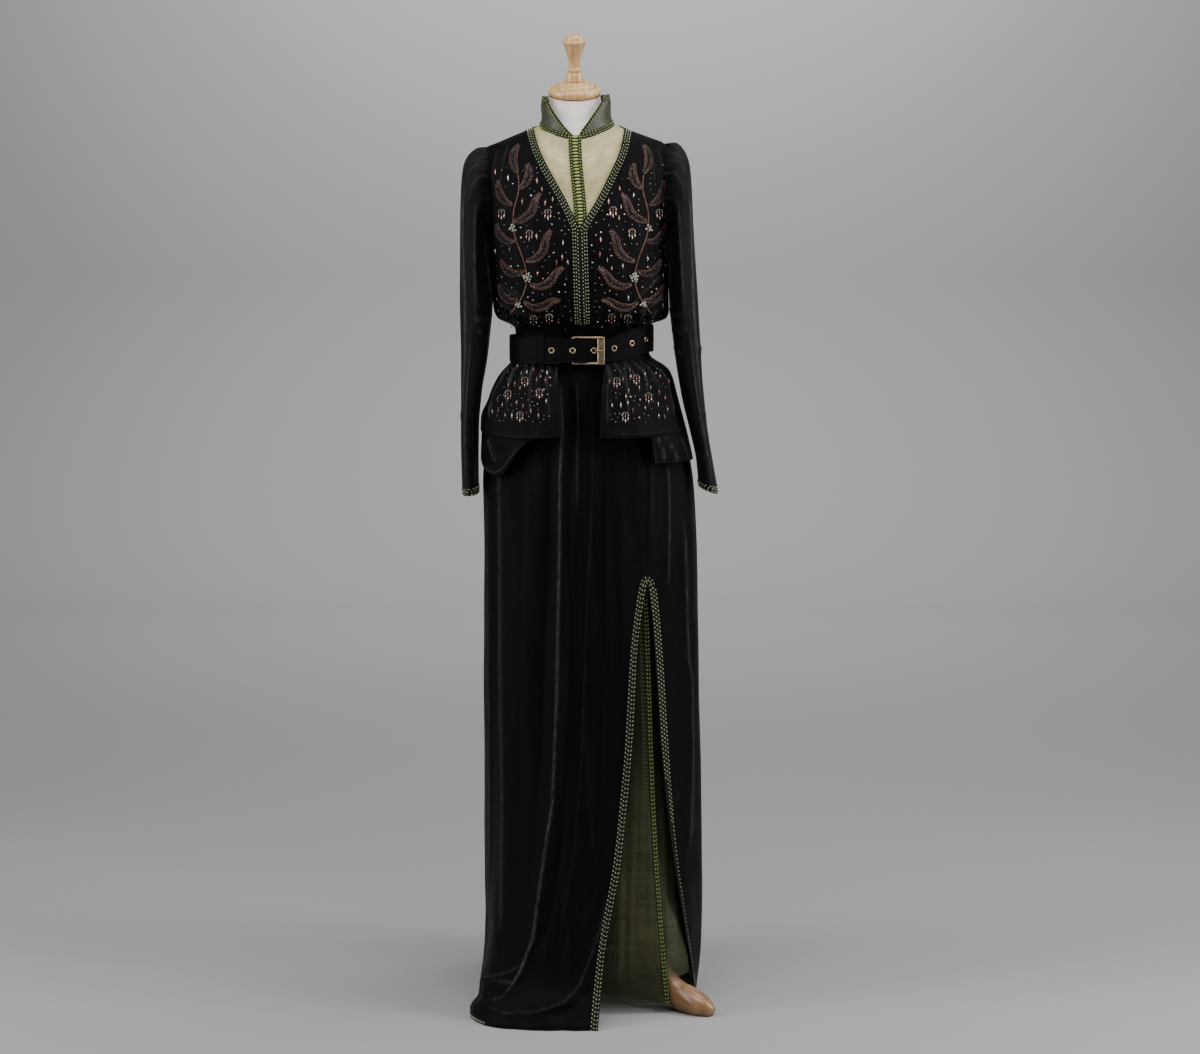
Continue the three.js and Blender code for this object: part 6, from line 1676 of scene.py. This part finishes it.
CAP_PROFILE = [
    (0, 5.3), (41, 5.3), (42.6, 6.2), (43.5, 8), (44.2, 11), (44, 14), (42.5, 17), (40, 18.8), (37, 19.6),
    (34.8, 19.6), (33.8, 18.6), (33.4, 18.2), (33, 18.7), (32.6, 20.2), (31, 22.5), (28, 24.6), (24, 26),
    (20, 27.4), (16, 28.4), (0, 28.4),
]
FINIAL_PROFILE = [
    (0, 28.7), (14, 28.7), (14.7, 30), (14.6, 33), (14.2, 37), (13.6, 40), (12, 43.4), (9.6, 44.6),
    (9.6, 45.4), (11.4, 46.2), (11.9, 48), (11.4, 49.8), (9.2, 51), (8.8, 52.6), (9, 58), (10, 65),
    (12, 72), (14.4, 79),
    (16.6, 86), (18.4, 91), (19.8, 94), (19.9, 95.6), (19, 97), (16.6, 97.8), (15.8, 99), (15, 102),
    (12.6, 104.8), (9, 106.6), (4, 107.8), (0, 108),
]
for name, profile in (("neck_cap", CAP_PROFILE), ("finial", FINIAL_PROFILE)):
    vertices, faces = turned_body(profile, 64)
    add_piece(name, on_neck(vertices), faces, beech, "beech")
# the cap's thin painted rim, which has no node of its own
vertices, faces = spin([(41.6, 4.6), (42.4, 4.6), (42.8, 5.2), (42.4, 6.0), (41.6, 6.0)], 64, cap=False)
add_piece("cap_rim", on_neck(vertices), faces, cap_rim, "beech", own_node=False)

POLE_RADIUS, POLE_TOP, HUB_LOW, HUB_HIGH, HUB_RADIUS = 16, 799.6, 205, 292, 30
HUB_PROFILE = [
    (0, HUB_LOW - 14), (12, HUB_LOW - 12), (18, HUB_LOW - 8.5), (22, HUB_LOW - 4), (28.4, HUB_LOW - 1.6),
    (HUB_RADIUS, HUB_LOW + 1), (HUB_RADIUS, HUB_HIGH - 10), (28.6, HUB_HIGH - 6.6), (25, HUB_HIGH - 3),
    (22, HUB_HIGH), (0, HUB_HIGH),
]
POLE_PROFILE = [
    (0, HUB_HIGH + SEAM), (POLE_RADIUS - 0.6, HUB_HIGH + SEAM), (POLE_RADIUS, HUB_HIGH + 1),
    (POLE_RADIUS, POLE_TOP - 1), (POLE_RADIUS - 0.6, POLE_TOP), (0, POLE_TOP),
]
stand_at = np.array([STAND_X, STAND_Y, 0.0])
for name, profile in (("hub", HUB_PROFILE), ("pole", POLE_PROFILE)):
    vertices, faces = turned_body(profile, 48)
    add_piece(name, vertices + stand_at, faces, beech_leg, "beech")

# each leg's line runs out from the hub and down to the toe
LEG_TURNS = (-36.1, 94, -138.5)
LEG = table(
    "step out z half wide",
    (0, 30.35, 250, 16, 16), (1, 54, 208, 16, 16), (2, 80, 158, 16, 16), (3, 116, 98, 16, 16),
    (4, 152, 50, 17, 17), (5, 186, 23, 25, 20), (6, 214, 17, 21, 21), (7, 233, 11, 15, 16), (8, 244, 7, 9, 8),
)
leg_steps = np.linspace(0, 8, 90)
leg_row = read(LEG, leg_steps)
leg_round = np.linspace(0, 2 * PI, 40, endpoint=False)
for index, turn in enumerate(LEG_TURNS):
    forward = np.array([math.cos(turn * RAD), math.sin(turn * RAD), 0.0])
    across = np.array([-forward[1], forward[0], 0.0])
    spine = stand_at + forward * leg_row["out"][:, None]
    spine[:, 2] = leg_row["z"]
    way = np.gradient(spine, axis=0)
    way[0] = forward
    upward = unit(np.cross(across, unit(way)))
    rings = (spine[:, None] + across * (leg_row["wide"][:, None] * np.cos(leg_round))[..., None]
             + upward[:, None] * (leg_row["half"][:, None] * np.sin(leg_round))[..., None])
    rings[..., 2] = np.maximum(0, rings[..., 2])
    loft_rings(f"leg_{index + 1}", rings, beech_leg, "beech")

# ---------- beading: a generic laurel spray, rosettes, scattered crystals, drops and small fringes ----------
def lying(profile, sides):
    """A lathe body with its axis laid along +X."""
    vertices, faces = spin(profile, sides)
    return vertices[:, [2, 0, 1]], faces


BUGLE = lying([(0.5, -1.0), (0.5, 1.0)], 6)
DROP = lying(
    [(0.05, -1.0), (0.55, -0.8), (0.85, -0.45), (0.8, -0.1), (0.45, 0.45), (0.16, 0.9), (0.05, 1.0)], 7)


def seat(cloth, x, z, ways):
    """Where beads at (x, z) sit on a cloth's front face: places, normals and directions lying on it."""
    points, normals = cloth
    flat, flat_normals = points.reshape(-1, 3), normals.reshape(-1, 3)
    facing = flat_normals[:, 1] < -0.25
    flat, flat_normals = flat[facing], flat_normals[facing]
    x, z = np.atleast_1d(x).astype(float), np.atleast_1d(z).astype(float)
    nearest = np.array([np.argmin((flat[:, 0] - a) ** 2 + (flat[:, 2] - b) ** 2) for a, b in zip(x, z)])
    base, normal = flat[nearest], flat_normals[nearest]
    dx, dz = x - base[:, 0], z - base[:, 2]
    y = base[:, 1] - (normal[:, 0] * dx + normal[:, 2] * dz) / normal[:, 1]
    centre = np.stack([x, y, z], axis=-1) + normal * (VELVET / 2)
    if ways is None:
        ways = np.tile([0.0, -1.0], (len(x), 1))
    across, up = ways[:, 0], ways[:, 1]
    along = np.stack([across, -(normal[:, 0] * across + normal[:, 2] * up) / normal[:, 1], up], axis=-1)
    return centre, normal, unit(along)


def smooth_path(path, pitch):
    """A smooth line of (x, z) points at an even pitch, with its directions."""
    path = np.array(path, dtype=float)
    fine = np.linspace(0, len(path) - 1, 60 * len(path))
    keys = np.arange(len(path))
    line = points_at(fine, keys, path)
    for _ in range(3):
        kernel = np.ones(41) / 41
        padded = np.concatenate([np.tile(line[:1], (20, 1)), line, np.tile(line[-1:], (20, 1))])
        line = np.stack([np.convolve(padded[:, k], kernel, mode="valid") for k in range(2)], axis=-1)
    walked = distances(line)
    at = np.arange(pitch / 2, walked[-1], pitch)
    way = points_at(at + 1, walked, line) - points_at(at - 1, walked, line)
    return points_at(at, walked, line), unit(way), at / walked[-1]


def turned_way(way, angle):
    c, s = math.cos(angle), math.sin(angle)
    return np.stack([way[:, 0] * c - way[:, 1] * s, way[:, 0] * s + way[:, 1] * c], axis=-1)


# the left front's spray of leaves along a winding stem; the right front mirrors it about the centre front
MIRROR_X = 15.0
GOLDEN_TURN = 2.4
STEM = [
    (-112, 1168), (-92, 1192), (-78, 1226), (-86, 1264), (-102, 1300), (-104, 1340), (-92, 1376), (-96, 1404)]
LEAVES = [
    [(-94, 1400), (-104, 1416), (-104, 1436), (-92, 1452)],
    [(-93, 1376), (-82, 1386), (-76, 1402), (-81, 1420)],
    [(-102, 1350), (-118, 1356), (-128, 1372), (-128, 1394)],
    [(-104, 1322), (-88, 1326), (-72, 1338), (-68, 1358), (-58, 1370)],
    [(-98, 1292), (-114, 1290), (-128, 1302), (-132, 1324)],
    [(-84, 1258), (-66, 1262), (-52, 1276), (-50, 1298), (-38, 1312)],
    [(-82, 1244), (-100, 1236), (-116, 1244), (-126, 1264)],
    [(-78, 1222), (-60, 1216), (-42, 1224), (-32, 1242), (-20, 1250)],
    [(-92, 1196), (-108, 1192), (-122, 1202), (-130, 1222)],
    [(-88, 1194), (-72, 1182), (-54, 1184), (-38, 1196), (-24, 1194)],
]
ROSETTES = [(-79, 1232, 12), (-103, 1312, 7), (-94, 1188, 6)]
FRINGES = {
    "left": [(-46, 1338), (-76, 1304), (-44, 1168), (-70, 1165), (-122, 1338)],
    "right": [(60, 1342), (91, 1306), (58, 1168), (84, 1166), (136, 1338)],
}
PEPLUM_FRINGES = {
    "left": [(-112, 1040), (-84, 1062), (-60, 1044), (-92, 1006)],
    "right": [(66, 1062), (98, 1066), (118, 1036), (80, 1006)],
}
beads = {kind: [] for kind in bead_materials}


def lay(kind, template, cloth, x, z, size, ways, lift, jitter=0.08):
    """Beads of one kind at (x, z) on a cloth, lying along ways, or hanging down where ways is None."""
    centre, normal, along = seat(cloth, x, z, ways)
    beads[kind] += oriented(template, centre + normal * lift, along, normal, size, 0, jitter)


def stem(cloth, path):
    """A thin twisted line of bugles."""
    centre, way, _ = smooth_path(path, 2.2)
    for sign in (-1, 1):
        lay("copper", BUGLE, cloth, *centre.T, (1.9, 0.75, 0.75), turned_way(way, sign * 0.6), 0.6)


def leaf(cloth, path):
    """A pointed leaf: barbs of copper bugles along both edges of a grey middle."""
    centre, way, share = smooth_path(path, 2.7)
    side_way = np.stack([-way[:, 1], way[:, 0]], axis=-1)
    wide = 6.6 * np.sin(PI * np.clip(0.06 + 0.92 * share, 0, 1)) ** 0.75
    for sign in (-1, 1):
        spots = centre + side_way * (sign * wide * 0.3)[:, None]
        lay("gunmetal", BUGLE, cloth, *spots.T, (2.0, 0.8, 0.8), turned_way(way, sign * 0.5), 0.6)
        spots = centre + side_way * (sign * wide * 0.8)[:, None]
        lay("copper", BUGLE, cloth, *spots.T, (2.9, 0.78, 0.78), turned_way(way, sign * 0.9), 0.8)


def rosette(cloth, x, z, count):
    """A loose cluster of pearls, the inner ones standing higher."""
    number = np.arange(count)
    turn, reach = number * GOLDEN_TURN, 2.25 * np.sqrt(number + 0.2)
    for k in number:
        size = rng.uniform(1.6, 2.2)
        lay("pearl", ROUND, cloth, x + reach[k] * math.cos(turn[k]), z + reach[k] * math.sin(turn[k]),
            (size, size, size), None, 2.6 - 1.4 * k / count, 0.02)


def fringe(cloth, x, z):
    """A small arch of seed beads with three strings under it, each ending in a drop."""
    turn = np.linspace(0.1, PI - 0.1, 8)
    arch_x, arch_z = x + 5.6 * np.cos(turn), z + 5.4 * np.sin(turn)
    lay("silver", FACETED, cloth, arch_x, arch_z, (0.95, 0.95, 0.9), None, 0.7, 0.02)
    for k, at in enumerate((x - 4.4, x, x + 4.4)):
        levels = z + 2.2 - 3.1 * np.arange(2 + k % 2)
        lay("rose", FACETED, cloth, np.full(len(levels), at), levels, (1.5, 0.75, 0.75), None, 0.9, 0.02)
        kind = "crystal" if rng.random() < 0.6 else "rose"
        lay(kind, DROP, cloth, at, levels[-1] - 5.2, (3.6, 1.5, 1.3), None, 1.1, 0.03)


def scatter_beads(count, x_low, x_high, z_low, z_high, clear, room, make, on_cloth):
    """Random spots with room about each, away from the points in clear, where on_cloth(x, z) is true."""
    taken = list(clear)
    placed, tries = 0, 0
    while placed < count and tries < 60 * count:
        tries += 1
        x, z = rng.uniform(x_low, x_high), rng.uniform(z_low, z_high)
        if not on_cloth(x, z) or any((x - a) ** 2 + (z - b) ** 2 < (room + c) ** 2 for a, b, c in taken):
            continue
        taken.append((x, z, room))
        make(x, z)
        placed += 1
    return taken


def on_peplum(x, z):
    ring = read(PEPLUM, z)
    return ring["left"] + 12 < x < ring["right"] - 12


def crystal_spot(cloth):
    def make(x, z):
        size = rng.uniform(0.8, 1.15) if rng.random() < 0.8 else rng.uniform(1.3, 1.7)
        kind = "silver" if size < 1.2 else rng.choice(["crystal", "rose"], p=[0.6, 0.4])
        lay(kind, FACETED if size < 1.2 else ROUND, cloth, x, z, (size, size, 0.8 * size), None, 0.5)
    return make


def drop_spot(cloth):
    def make(x, z):
        kind = rng.choice(["crystal", "rose", "copper"], p=[0.3, 0.45, 0.25])
        long = rng.uniform(3.4, 4.6)
        lay(kind, DROP, cloth, x, z, (long, 0.42 * long, 0.36 * long), None, 1.0)
        lay("silver", FACETED, cloth, x, z + long + 0.9, (0.8, 0.8, 0.8), None, 0.6)
    return make


for side, sign in SIDES.items():
    front = surfaces[f"bodice_front_{side}"]
    taken = []

    def across(x):
        return x if sign < 0 else MIRROR_X - x

    for path in [STEM] + LEAVES:
        placed_path = [(across(x), z) for x, z in path]
        (stem if path is STEM else leaf)(front, placed_path)
        line, _, _ = smooth_path(placed_path, 6)
        taken += [(x, z, 5) for x, z in line]
    for x, z, count in ROSETTES:
        rosette(front, across(x), z, count)
        taken.append((across(x), z, 8))
    for x, z in FRINGES[side]:
        fringe(front, x, z)
        taken += [(x, z, 5), (x, z - 8, 5)]
    edge_x = {z: float(inner_edge_x(side, z)) for z in range(1140, 1430)}

    def past_braid(x, z):
        return sign * (x - edge_x[int(z)]) > BRAID_WIDTH + 4

    x_low, x_high = sorted((across(-134), across(-8)))
    taken = scatter_beads(18, x_low, x_high, 1150, 1412, taken, 6, drop_spot(front), past_braid)
    scatter_beads(90, x_low, x_high, 1146, 1418, taken, 4.2, crystal_spot(front), past_braid)
    skirtlet = surfaces[f"peplum_front_{side}"]
    taken = []
    for x, z in PEPLUM_FRINGES[side]:
        fringe(skirtlet, x, z)
        taken += [(x, z, 5), (x, z - 8, 5)]
    x_low, x_high = (-140, -42) if sign < 0 else (54, 152)
    taken = scatter_beads(22, x_low, x_high, 996, 1084, taken, 4.6, drop_spot(skirtlet), on_peplum)
    scatter_beads(44, x_low, x_high, 994, 1086, taken, 3.0, crystal_spot(skirtlet), on_peplum)

for kind, parts in beads.items():
    joined(f"beads_{kind}", parts, bead_materials[kind], "metal")


# ---------- flat sizes of the cloth pieces ---
def declare_cloth(name):
    """Works out the flat width, length and area of what shows of a cloth piece, and keeps none of them."""
    points = surfaces[name][0]
    if name.startswith("sleeve"):
        points = np.concatenate([points, points[:, :1]], axis=1)
    across = np.linalg.norm(np.diff(points, axis=1), axis=2).sum(axis=1)
    down = np.linalg.norm(np.diff(points, axis=0), axis=2).sum(axis=0)
    diagonal, other = points[1:, 1:] - points[:-1, :-1], points[1:, :-1] - points[:-1, 1:]
    area = np.linalg.norm(np.cross(diagonal, other), axis=2).sum() / 2 * MM * MM
    width, length = float(across.max()) * MM, float(down.max()) * MM
    area = float(np.clip(area, 0.301 * width * length, width * length))


declare_cloth("bodice_back")
for side in SIDES:
    declare_cloth(f"bodice_front_{side}")
    declare_cloth(f"sleeve_{side}")
    declare_cloth(f"peplum_front_{side}")
    declare_cloth(f"peplum_long_{side}")
    declare_cloth(f"yoke_{side}")
    declare_cloth(f"underskirt_{side}")
declare_cloth("skirt_front_left")
declare_cloth("skirt_front_right")
declare_cloth("skirt_back")
declare_cloth("collar")
declare_cloth("centre_strip")


# ---------- studio ----------
# A floor that sweeps up into the backdrop in one smooth curve. Its wall is far enough away that the
# garment also shows from behind.
SWEEP_START, SWEEP_RADIUS, WALL_TOP, HALF_WIDTH, NEAR = 4900, 1100, 5600, 8000, -7000
sweep = [(NEAR, 0.0), (SWEEP_START, 0.0)]
for k in range(1, 25):
    turn = k / 24 * PI / 2
    sweep.append((SWEEP_START + SWEEP_RADIUS * math.sin(turn), SWEEP_RADIUS * (1 - math.cos(turn))))
sweep.append((SWEEP_START + SWEEP_RADIUS, WALL_TOP))
backdrop_vertices = [(x, y, z) for y, z in sweep for x in (-HALF_WIDTH, HALF_WIDTH)]
backdrop_faces = [[2 * i, 2 * i + 1, 2 * i + 3, 2 * i + 2] for i in range(len(sweep) - 1)]
paper = node_material("backdrop", (0.315, 0.315, 0.32), 0.8, Specular_IOR_Level=0.2)[0]
make_mesh("studio_backdrop", backdrop_vertices, backdrop_faces, paper)


def area_light(name, place, aim, size, power):
    data = bpy.data.lights.new(name, "AREA")
    data.shape = "RECTANGLE"
    data.size, data.size_y = size
    data.energy = power
    lamp = bpy.data.objects.new(name, data)
    bpy.context.scene.collection.objects.link(lamp)
    lamp.location = np.array(place) * MM + SHIFT
    direction = np.array(aim, dtype=float) - np.array(place, dtype=float)
    lamp.rotation_euler = (
        math.atan2(math.hypot(direction[0], direction[1]), -direction[2]), 0,
        math.atan2(direction[1], direction[0]) - PI / 2)


area_light("left_softbox", (-2300, -900, 1750), (0, 0, 850), (1.0, 2.4), 62)
area_light("right_softbox", (2300, -800, 1750), (0, 0, 850), (1.0, 2.4), 70)
area_light("top_softbox", (0, -1400, 3300), (0, 0, 700), (2.6, 1.6), 60)
area_light("backdrop_light", (1300, 500, 3600), (900, 2300, 900), (2.0, 1.2), 40)
area_light("wall_light", (150, 4100, 3700), (120, 6000, 1700), (2.6, 1.0), 150)
world = bpy.data.worlds.new("studio_air")
world.use_nodes = True
world.node_tree.nodes["Background"].inputs["Color"].default_value = (0.9, 0.92, 0.96, 1)
world.node_tree.nodes["Background"].inputs["Strength"].default_value = 0.22
bpy.context.scene.world = world

CAMERA_PLACE, CAMERA_PITCH = (39, -5000, 1350), 6.2
camera_data = bpy.data.cameras.new("camera")
camera_data.sensor_width = 36
camera_data.lens = 88.8
camera = bpy.data.objects.new("camera", camera_data)
bpy.context.scene.collection.objects.link(camera)
camera.location = np.array(CAMERA_PLACE) * MM + SHIFT
camera.rotation_euler = ((90 - CAMERA_PITCH) * RAD, 0, 0)
bpy.context.scene.camera = camera
